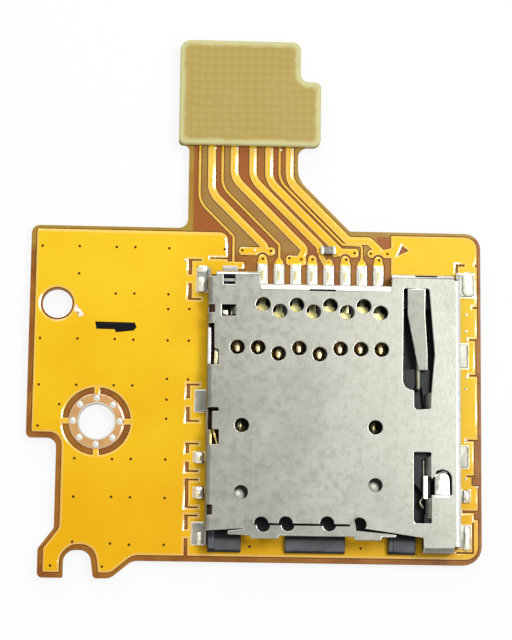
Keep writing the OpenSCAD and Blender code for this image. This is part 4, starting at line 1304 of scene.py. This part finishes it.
@dataclass
class Board:
    """Films, copper, vias and marks of the flexible board."""

    levels: Levels
    pour_shoulder: float = 0.11
    trace_shoulder: float = 0.19
    tail_from: float = 9.75
    tail_to: float = 14.9
    skirt: float = 0.05
    screw_r: float = 0.95
    via_r: float = 0.075
    via_rise: float = 0.004
    via_columns: Sequence[tuple[float, Sequence[float]]] = (
        (-3.13, (9.49, 4.43, 1.92, -0.3)),
        (-1.13, (9.5, 8.0, 4.44, 1.93, -2.01, -4.06, -6.45)),
        (0.87, (9.5, 6.94, 4.45, 1.94, -2.03, -4.04, -6.51)),
        (1.87, (9.51, 6.96, 4.43, 1.95, -2.01, -4.05, -6.56)),
        (3.71, (9.49, 6.95, 6.14, 4.43, 2.34, 1.22, 0.19, -2.0, -4.06, -6.54)),
        (4.85, (6.17, 4.44, 2.33)),
    )
    via_places: Sequence[Point] = (
        (7.67, 9.47), (9.22, 9.46), (10.23, 9.09), (10.88, 9.03), (13.78, 9.44), (14.66, 9.42),
        (15.58, 9.43), (6.72, 9.5), (8.26, -6.56), (14.17, -6.57), (8.79, 9.02), (11.49, 9.04),
        (13.33, 9.06), (15.12, 9.07), (-2.01, 0.87), (-2.26, -7.72), (0.47, -7.73),
    )
    bump_half: Sequence[float] = (0.085, 0.085, 0.05)
    bump_sunk: float = 0.015
    pen_dash: Sequence[Point] = (
        (-0.13, 4.99), (0.86, 4.98), (0.92, 4.82), (1.88, 4.93), (2.03, 5.12), (1.93, 5.37), (-0.2, 5.39),
    )
    scuff: Sequence[Point] = ((-1.36, 6.02), (-1.07, 5.62), (-0.76, 5.72), (-1.0, 6.02), (-1.26, 6.36))
    # Places of the small cream bumps, painted highlights.
    raised: Sequence[Point] = (
        (19.88, 6.15), (19.87, 5.24), (19.9, 4.78), (19.88, 2.72), (19.83, 2.09), (19.83, -0.7),
        (19.82, -2.78), (20.41, -3.22), (8.36, 9.48), (4.6, 8.86), (6.12, 15.15), (7.32, 15.17),
        (8.27, 15.1), (9.2, 15.14), (9.7, 15.11), (10.34, 15.17),
    )

    def build(self) -> None:
        """Builds and dresses the board."""
        self._films()
        self._copper()
        self._vias()
        self._highlight_bumps()
        for outline, name, finish in ((self.pen_dash, "pen_dash", INK), (self.scuff, "scuff_mark", SCUFF)):
            shape = decal(outline, self.levels.copper, self.via_rise)
            finish_piece(shape, name, [finish])

    def _highlight_bumps(self) -> None:
        """Small cream bumps that stand proud of the copper: painted highlights."""
        foot = self.levels.copper - self.bump_sunk
        rows = [
            (Vector((*place, foot)), self.bump_half, 3.0 * number)
            for number, place in enumerate(self.raised)
        ]
        lumps(rows, "via_highlight_bumps", CREAM, 0.06)

    def _films(self) -> None:
        """Base film and backing sheet."""
        plain_piece("flex_film", "film_sheet", FILM)
        plain_piece("backing_sheet", "backing", BACKING)

    def _at_hole(self, point: Vector) -> bool:
        """Tells whether a point is on the wall of the screw hole."""
        return math.hypot(point.x, point.y) < self.screw_r + 0.03

    def _shoulder(self, point: Vector) -> float:
        """Width of the cover film's rounding, larger on the tail."""
        on_tail = point.y > self.tail_from and point.x < self.tail_to
        return self.trace_shoulder if on_tail else self.pour_shoulder

    def _copper(self) -> None:
        """Copper islands with the cover film draped over their edges."""
        for node, name in (("ground_copper", "ground_cover"), ("signal_traces", "trace_cover")):
            shape = merged(node, planar=False)
            Drape(shape, self._shoulder, self.skirt).lay(self._at_hole)
            finishes = [COPPER, SHOULDER, SLOPE]
            finish_piece(shape, name, finishes, [node], None)

    def _vias(self) -> None:
        """Small sunken holes, in columns and by themselves."""
        places = [(x, y) for x, rows in self.via_columns for y in rows] + list(self.via_places)
        dots = []
        for x, y in places:
            shape = bmesh.new()
            bmesh.ops.create_cone(
                shape, cap_ends=True, segments=14, radius1=self.via_r,
                radius2=0.7 * self.via_r, depth=self.via_rise,
            )
            spot = Vector((x, y, self.levels.copper + 0.5 * self.via_rise))
            bmesh.ops.translate(shape, vec=spot, verts=shape.verts[:])
            dots.append(shape)
        finish_piece(joined(dots), "via_mouths", [VIA])


@dataclass
class TailHead:
    """Stiffener and plug at the end of the tail."""

    rim: float = 0.55
    edge: float = 0.11
    edge_angle: float = 50.0
    edge_faces: int = 4
    pitch: float = 0.26
    plug_edge: float = 0.03
    blade_edge: float = 0.01

    def build(self) -> None:
        """Builds and dresses the head."""
        shape = merged("tail_stiffener")
        outline = self._outline(shape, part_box("tail_stiffener")[0].z / MM)
        soften(shape, self.edge, self.edge_angle, self.edge_faces)
        sliced(shape, self.pitch)
        carried = shape.verts.layers.float.new("rim")
        for vert in shape.verts:
            vert[carried] = 1.0 - min(1.0, self._distance(vert.co, outline) / self.rim)
        finish_piece(shape, "stiffener", [WEAVE], ["tail_stiffener"], SMOOTH_ROUND)
        plain_piece("plug_housing", "plug_body", BLACK, self.plug_edge)
        plain_piece("plug_contacts", "plug_blades", GoldPlate("plug_gold"), self.blade_edge)
        plain_piece("plug_hold_downs", "plug_anchors", TIN, self.blade_edge)

    @staticmethod
    def _outline(shape: Mesh, low: float) -> list[tuple[Vector, Vector]]:
        """Straight stretches of the outline, flat.

        Args:
            shape: The stiffener's mesh.
            low: Height of its underside.

        Returns:
            The ends of each stretch.
        """
        return [
            (edge.verts[0].co.to_2d(), edge.verts[1].co.to_2d())
            for edge in shape.edges
            if all(vert.co.z < low + 0.05 for vert in edge.verts)
            and any(abs(face.normal.z) < 0.5 for face in edge.link_faces)
            and (edge.verts[0].co - edge.verts[1].co).to_2d().length > WELD
        ]

    @staticmethod
    def _distance(point: Vector, outline: Sequence[tuple[Vector, Vector]]) -> float:
        """Distance of a point from the outline, seen from above.

        Args:
            point: The point.
            outline: Ends of the outline's stretches.

        Returns:
            The distance.
        """
        flat = point.to_2d()
        found = math.inf
        for start, end in outline:
            run = end - start
            share = min(1.0, max(0.0, (flat - start).dot(run) / run.length_squared))
            found = min(found, (flat - start - run * share).length)
        return found


@dataclass
class SolderWork:
    """Solder of the ring, the feet and the contact tails, and the chip part."""

    levels: Levels
    fillet_edge: float = 0.012
    chip_edge: float = 0.03
    pad_rise: float = 0.02
    spot_rise: float = 0.2
    foot_rise: float = 0.14
    lump: float = 0.1
    square: float = 0.75
    pads: Sequence[Lump] = (
        ((5.54, -1.86), (0.29, 0.34, 0.26)), ((5.57, -3.75), (0.29, 0.37, 0.26)),
        ((19.8, -3.72), (0.26, 0.38, 0.27)),
    )
    spots: Sequence[Lump] = (
        ((5.52, -1.93), (0.1, 0.13, 0.07)), ((5.51, -3.84), (0.1, 0.14, 0.07)),
        ((19.83, -3.86), (0.1, 0.12, 0.07)),
    )
    flows: Sequence[Lump] = (
        ((5.52, 7.52), (0.25, 0.42, 0.17)), ((5.55, 8.36), (0.28, 0.2, 0.09)),
        ((19.94, 7.83), (0.31, 0.66, 0.11)), ((19.84, -5.95), (0.19, 0.64, 0.1)),
        ((5.6, -6.2), (0.15, 0.36, 0.11)),
    )

    def build(self) -> None:
        """Builds and dresses the solder."""
        for node, name, edge in (
            ("ring_solder", "ring_dots", 0.0),
            ("tab_solder", "foot_fillets", self.fillet_edge),
            ("tail_solder", "tail_fillets", self.fillet_edge),
            ("chip_end_caps", "chip_caps", self.chip_edge),
        ):
            plain_piece(node, name, TIN, edge, smooth=SMOOTH_CAST)
        plain_piece("chip_body", "chip", CERAMIC, self.chip_edge)
        mount = self.levels.copper + self.pad_rise
        for rows, name, level, finish, slot in (
            (self.pads, "pad_domes", mount, TIN, Slot.SOLDER),
            (self.spots, "pad_spots", mount + self.spot_rise, GOLD_SPOT, Slot.GOLD),
            (self.flows, "foot_flows", mount + self.foot_rise, CREAM, Slot.SOLDER),
        ):
            domes = [
                (Vector((*place, level)), half, 1.7 * number) for number, (place, half) in enumerate(rows)
            ]
            lumps(domes, name, finish, self.lump, self.square)


@dataclass
class SocketBody:
    """Shell, moulding and contacts of the socket."""

    shell_edge: float = 0.05
    flat_edge: float = 6.0
    pilots: Sequence[Point] = ((7.67, -0.14), (14.8, -0.14))
    pilot_domes: Sequence[tuple[float, Sequence[float]]] = (
        (0.0, (0.22, 0.34, 0.46)), (0.42, (0.13, 0.24, 0.08)),
    )
    dimples: Sequence[Point] = ((7.71, -3.8), (14.82, -3.32))
    dimple_r: float = 0.385
    dimple_steps: int = 8
    dimple_turns: int = 40
    dimple_rim: float = 0.02
    dimple_deep: float = 0.1
    dimple_under: float = 0.129
    fold_right: float = 19.1
    fold_rear: float = 6.9
    fold_left: float = 6.1
    comb: float = -4.6
    moulding_edge: float = 0.03
    strip_edge: float = 0.012
    contacts: int = 8
    short_contacts: Sequence[int] = (3, 5)
    tinned_rear: float = 1.0
    crown_x: float = 7.45
    crown_pitch: float = 1.1
    crown_y: Point = (4.04, 3.73)
    crown_half: Sequence[float] = (0.15, 0.27, 0.035)
    crown_sunk: float = 0.008
    crown_to: float = 5.2
    roots: Sequence[Point] = (
        (8.76, 6.27), (9.62, 5.91), (10.53, 6.27), (11.4, 5.92), (12.34, 6.28), (13.21, 5.93),
        (14.15, 6.28), (15.04, 5.93),
    )
    root_outline: Sequence[Point] = (
        (-0.34, -0.36), (0.34, -0.36), (0.34, 0.05), (0.2, 0.14), (-0.2, 0.14), (-0.34, 0.05),
    )
    root_sunk: float = 0.02
    root_thick: float = 0.03
    side_strip: Sequence[Point] = ((5.86, 3.03), (6.02, 3.03), (6.02, 4.99), (5.86, 4.99))
    switch_blade: Sequence[Point] = ((6.2, 3.03), (6.39, 3.03), (6.43, 3.8), (6.22, 3.8))
    lance_bar: Sequence[Point] = ((7.06, 5.72), (7.22, 5.72), (7.31, 6.14), (7.14, 6.14))
    lance_foot: Sequence[Point] = ((6.61, 5.76), (6.9, 5.72), (6.9, 5.98), (6.6, 6.0))
    lance_box: Sequence[float] = (17.3, 18.9, -4.15, -2.3)
    blade_edge: float = 0.02
    plate: float = field(init=False)

    def build(self) -> None:
        """Builds and dresses the socket."""
        shell = merged("shell")
        self.plate = max(shell.faces, key=lambda face: face.calc_area()).calc_center_median().z
        soften(shell, self.shell_edge, segments=3, place=1, under=False)
        self._assign(shell)
        # By place: the plate; rounded edges, brighter as a painted highlight; near-white folds, a painted
        # highlight; darker tilted faces, painted shade.
        finishes = [STEEL, EDGE_HIGHLIGHT_STEEL, FOLD_HIGHLIGHT_STEEL, LEAF_SHADE_STEEL]
        finish_piece(shell, "shell_cover", finishes, ["shell"], None)
        self._dishes()
        self._switch()
        plain_piece("insulator", "moulding", BLACK, self.moulding_edge)
        self._contacts()
        for node in ("detect_spring", "detect_terminal"):
            plain_piece(node, f"{node}_strip", GoldPlate("switch_gold"), self.strip_edge)

    def _contacts(self) -> None:
        """Card contacts, their roots, pale domes on their bumps as painted highlights, and the bumps under
        the plain holes.
        """
        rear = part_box("shell")[1].y / MM - self.tinned_rear
        plate = GoldPlate("contact_gold", tinned_from=rear, crown_to=self.crown_to)
        roots = []
        crowns = []
        for number in range(1, self.contacts + 1):
            strip = merged(f"contact_{number}")
            roots.append(self._root(strip, self.roots[number - 1]))
            crowns.append((self._crown(strip, number), self.crown_half, float(number)))
            soften(strip, self.strip_edge)
            finish_piece(strip, f"contact_strip_{number}", [plate], [f"contact_{number}"])
        finish_piece(joined(roots), "contact_roots", [ROOT_GOLD])
        lumps(crowns, "contact_crown_highlights", CROWN_HIGHLIGHT_GOLD, 0.03)
        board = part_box("ground_copper")[1].z / MM
        bumps = [
            (Vector((*place, board + rise)), half, 2.0)
            for rise, half in self.pilot_domes for place in self.pilots
        ]
        # The bumps under the plain holes get the same pale gold, a painted highlight.
        lumps(bumps, "pilot_bumps", CROWN_HIGHLIGHT_GOLD, 0.02)

    def _root(self, strip: Mesh, hole: Point) -> Mesh:
        """Wider root of a contact, as seen through the hole over it.

        Args:
            strip: The contact.
            hole: Middle of the hole.

        Returns:
            A thin plate that lies on the contact.
        """
        x, y = hole
        level = self._top_at(strip, x - 0.1, y - 0.1) - self.root_sunk
        corners = [(x + across, y + along) for across, along in self.root_outline]
        return decal(corners, level, self.root_thick)

    @staticmethod
    def _top_at(strip: Mesh, x: float, y: float) -> float:
        """Height of a contact's upper face at a place.

        Args:
            strip: The contact.
            x: Place across.
            y: Place along.

        Returns:
            The height, or that of the contacts' highest point where it has none there.
        """
        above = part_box("contact_1")[1].z / MM
        found = BVHTree.FromBMesh(strip).ray_cast(Vector((x, y, 5.0)), DOWN)
        return found[0].z if found[0] else above

    def _crown(self, strip: Mesh, number: int) -> Vector:
        """Foot of the pale dome on the top of a contact's bump, a painted highlight.

        Args:
            strip: The contact.
            number: Its number, from 1.

        Returns:
            The place, a little under the surface.
        """
        x = self.crown_x + (number - 1) * self.crown_pitch
        y = self.crown_y[number in self.short_contacts]
        return Vector((x, y, self._top_at(strip, x, y) - self.crown_sunk))

    def _switch(self) -> None:
        """Blades of the card switch and the side strip that show in the left windows."""
        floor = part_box("flex_film")[1].z / MM
        for outline, name, finish, slot, level, high in (
            # The side strip in near-white steel and the lance bar in cream: painted highlights on steel.
            (self.side_strip, "side_strip", FOLD_HIGHLIGHT_STEEL, Slot.STEEL, floor + 0.2, 1.5),
            (self.switch_blade, "switch_blade", CREAM_GOLD, Slot.GOLD, floor + 0.35, 1.5),
            (self.lance_bar, "lance_bar", CREAM, Slot.STEEL, floor + 0.35, 1.5),
            (self.lance_foot, "lance_foot", CREAM_GOLD, Slot.GOLD, floor + 0.35, 1.35),
        ):
            blade = decal(outline, level, high - level)
            soften(blade, self.blade_edge)
            finish_piece(blade, name, [finish])

    def _assign(self, shell: Mesh) -> None:
        """Gives the shell's faces their steel, and marks its sharp edges: painted highlights on folds,
        crescents and the lance, painted shade on faces that tilt a little.

        Args:
            shell: The shell with its edges already rounded, which are at place 1.
        """
        top = self.plate
        for edge in shell.edges:
            rounded = any(face.material_index == 1 for face in edge.link_faces)
            middle = (edge.verts[0].co + edge.verts[1].co) / 2
            bent = middle.x > self.fold_right - 0.1 or middle.x < self.fold_left + 0.1
            limit = SMOOTH if rounded or bent else self.flat_edge
            edge.smooth = edge.calc_face_angle(0.0) < math.radians(limit)
            if rounded and any(self._sliver(face) for face in edge.link_faces):
                edge.smooth = False
        left, right, front, back = self.lance_box
        for face in shell.faces:
            middle = face.calc_center_median()
            out = face.normal
            high = middle.z > top - 0.5 and out.z > -0.2
            away = min((middle.to_2d() - Vector(place)).length for place in self.dimples)
            folded = middle.x > self.fold_right and out.x > 0.12
            folded = folded or (middle.y > self.fold_rear and out.y > 0.25)
            crescent = middle.y < self.comb and min(out.x, out.y) > 0.15
            lance = left < middle.x < right and front < middle.y < back and 0.8 < out.z
            lance = lance and abs(middle.z - top) > 0.001
            if away < self.dimple_r + 0.1:
                face.material_index = 0
            # Folds that face right and rear, crescents by the mouth that face up to the right, and the
            # lance's left end: near-white steel, a painted highlight.
            elif high and (folded or crescent or (lance and middle.x < left + 0.4)):
                face.material_index = 2
            # The rest of the lance: the brighter edge steel, a painted highlight.
            elif high and lance:
                face.material_index = 1
            # Faces that tilt a little: darker steel, painted shade.
            elif face.material_index == 0 and 0.8 < out.z < 0.9999 and self.fold_left + 0.1 < middle.x:
                face.material_index = 3

    @staticmethod
    def _sliver(face: Face) -> bool:
        """Tells whether a face is a small flat one on the plate, which a rounding would tilt."""
        return face.material_index == 0 and face.normal.z > 0.9995 and face.calc_area() < 1.0

    def _dishes(self) -> None:
        """Bowls of the two pressed-in dimples, each turned from its profile."""
        top = self.plate
        for number, (x, y) in enumerate(self.dimples, 1):
            shape = bmesh.new()
            shares = [step / self.dimple_steps for step in range(self.dimple_steps + 1)]
            profile = [
                (share * self.dimple_r, -self.dimple_rim - self.dimple_deep * (1.0 - share * share))
                for share in shares
            ]
            profile += [(0.8 * self.dimple_r, -self.dimple_under), (0.0, -self.dimple_under)]
            ring = [shape.verts.new((x + r, y, top + z)) for r, z in profile]
            lines = [shape.edges.new(pair) for pair in zip(ring, ring[1:])]
            bmesh.ops.spin(
                shape, geom=ring + lines, cent=(x, y, top), axis=(0, 0, 1), angle=2.0 * math.pi,
                steps=self.dimple_turns, use_merge=True,
            )
            bmesh.ops.remove_doubles(shape, verts=shape.verts[:], dist=WELD)
            bmesh.ops.recalc_face_normals(shape, faces=shape.faces[:])
            finish = PressedDish(f"dish_painted_shadow_{number}", (x, y), self.dimple_r)
            finish_piece(shape, f"dimple_bowl_{number}", [finish], (), SMOOTH_CAST)


@dataclass
class Mechanism:
    """Slider, latch, cam pin and return spring."""

    edge: float = 0.025
    latch_edge: float = 0.01
    spring_stroke: float = 0.0032

    def build(self) -> None:
        """Builds and dresses the moving pieces."""
        plain_piece("slider", "slider_block", SLIDER_BLACK, self.edge, Body.SLIDER)
        plain_piece("card_latch", "latch_leaf", WIRE, self.latch_edge, Body.SLIDER)
        plain_piece("cam_pin", "cam_wire", WIRE, 0.0, Body.CAM_PIN, SMOOTH_ROUND)
        self._spring()

    def _spring(self) -> None:
        """Return spring, in a mesh of its own. The real spring shortens as the slider goes in; this piece
        keeps its length.
        """
        piece = plain_piece("slider_spring", "return_spring", SPRING_STEEL, smooth=SMOOTH_COIL)
        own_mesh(piece)


@dataclass
class Stage:
    """Floor, soft light and camera."""

    floor_gap: float = 0.02
    floor_half: float = 900.0
    floor_colour: Colour = (0.9, 0.9, 0.9)
    floor_glow: float = 0.88
    world_light: float = 0.48
    key_place: Sequence[float] = (50.0, 22.0, 105.0)
    key_size: Point = (50.0, 31.0)
    key_power: float = 0.066
    rear_place: Sequence[float] = (-20.0, 150.0, 95.0)
    rear_size: Point = (90.0, 90.0)
    rear_power: float = 0.08
    aim: Sequence[float] = (8.458, 5.640, 0.36)
    eye: Sequence[float] = (3.186, -14.358, 117.331)
    roll: float = 15.69
    lens: float = 123.75
    sensor: float = 36.0
    clip: Point = (0.005, 10.0)

    def build(self) -> None:
        """Sets the stage."""
        bpy.context.scene.view_settings.view_transform = "Standard"
        self._world()
        self._floor()
        self._lamp("key_lamp", self.key_place, self.key_size, self.key_power)
        self._lamp("rear_lamp", self.rear_place, self.rear_size, self.rear_power)
        self._camera()

    def _world(self) -> None:
        """White surroundings, at a plain level for diffuse light."""
        world = bpy.data.worlds.new("studio")
        bpy.context.scene.world = world
        world.use_nodes = True
        graph = Graph(world.node_tree)
        back = graph.tree.nodes["Background"]
        graph.feed(back.inputs["Color"], WHITE)
        graph.feed(back.inputs["Strength"], graph.shown() * (1.0 - self.world_light) + self.world_light)

    def _floor(self) -> None:
        """Plain white floor that keeps a faint shadow."""
        shape = bmesh.new()
        bmesh.ops.create_grid(shape, x_segments=1, y_segments=1, size=self.floor_half * MM)
        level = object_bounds()[0].z - self.floor_gap * MM
        bmesh.ops.translate(shape, vec=(0, 0, level), verts=shape.verts[:])
        mesh = bpy.data.meshes.new("floor")
        shape.to_mesh(mesh)
        shape.free()
        shader = Shader("floor_white")
        shader.set(Base_Color=self.floor_colour, Roughness=0.9)
        glow = shader.node("ShaderNodeEmission", {}, {"Color": WHITE, "Strength": 1.0})
        mixed = shader.node(
            "ShaderNodeMixShader", {},
            {0: shader.shown() * self.floor_glow, 1: Value(shader, shader.surface.outputs["BSDF"]),
             2: Value(shader, glow.outputs["Emission"])},
        )
        shader.show(mixed.outputs[0])
        mesh.materials.append(shader.material)
        floor = bpy.data.objects.new("floor", mesh)
        bpy.context.scene.collection.objects.link(floor)
        floor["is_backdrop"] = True

    def _lamp(self, name: str, place: Sequence[float], size: Point, power: float) -> None:
        """A soft lamp that points at the object.

        Args:
            name: Name of the lamp.
            place: Where it stands.
            size: Sides of the lamp.
            power: Watts.
        """
        data = bpy.data.lights.new(name, "AREA")
        data.shape = "RECTANGLE"
        data.size = size[0] * MM
        data.size_y = size[1] * MM
        data.energy = power
        lamp = bpy.data.objects.new(name, data)
        lamp.location = Vector(place) * MM
        direction = Vector(self.aim) * MM - lamp.location
        lamp.rotation_euler = direction.to_track_quat("-Z", "Y").to_euler()
        lamp.visible_camera = False
        bpy.context.scene.collection.objects.link(lamp)

    def _camera(self) -> None:
        """Camera at the photograph's angle."""
        data = bpy.data.cameras.new("camera")
        data.lens = self.lens
        data.sensor_width = self.sensor
        data.clip_start, data.clip_end = self.clip
        camera = bpy.data.objects.new("camera", data)
        direction = (Vector(self.aim) - Vector(self.eye)) * MM
        turn = direction.to_track_quat("-Z", "Y").to_matrix().to_4x4()
        roll = Matrix.Rotation(math.radians(self.roll), 4, "Z")
        camera.matrix_world = Matrix.Translation(Vector(self.eye) * MM) @ turn @ roll
        bpy.context.scene.collection.objects.link(camera)
        bpy.context.scene.camera = camera


def main() -> None:
    """Builds the sub-assemblies in order and sets the stage."""
    logging.basicConfig(level=logging.INFO, format="%(message)s")
    levels = Levels()
    for assembly in (
        Board(levels), TailHead(), SolderWork(levels), SocketBody(), Mechanism(), Stage(),
    ):
        LOG.info("building %s", type(assembly).__name__)
        assembly.build()


if __name__ == "__main__":
    main()
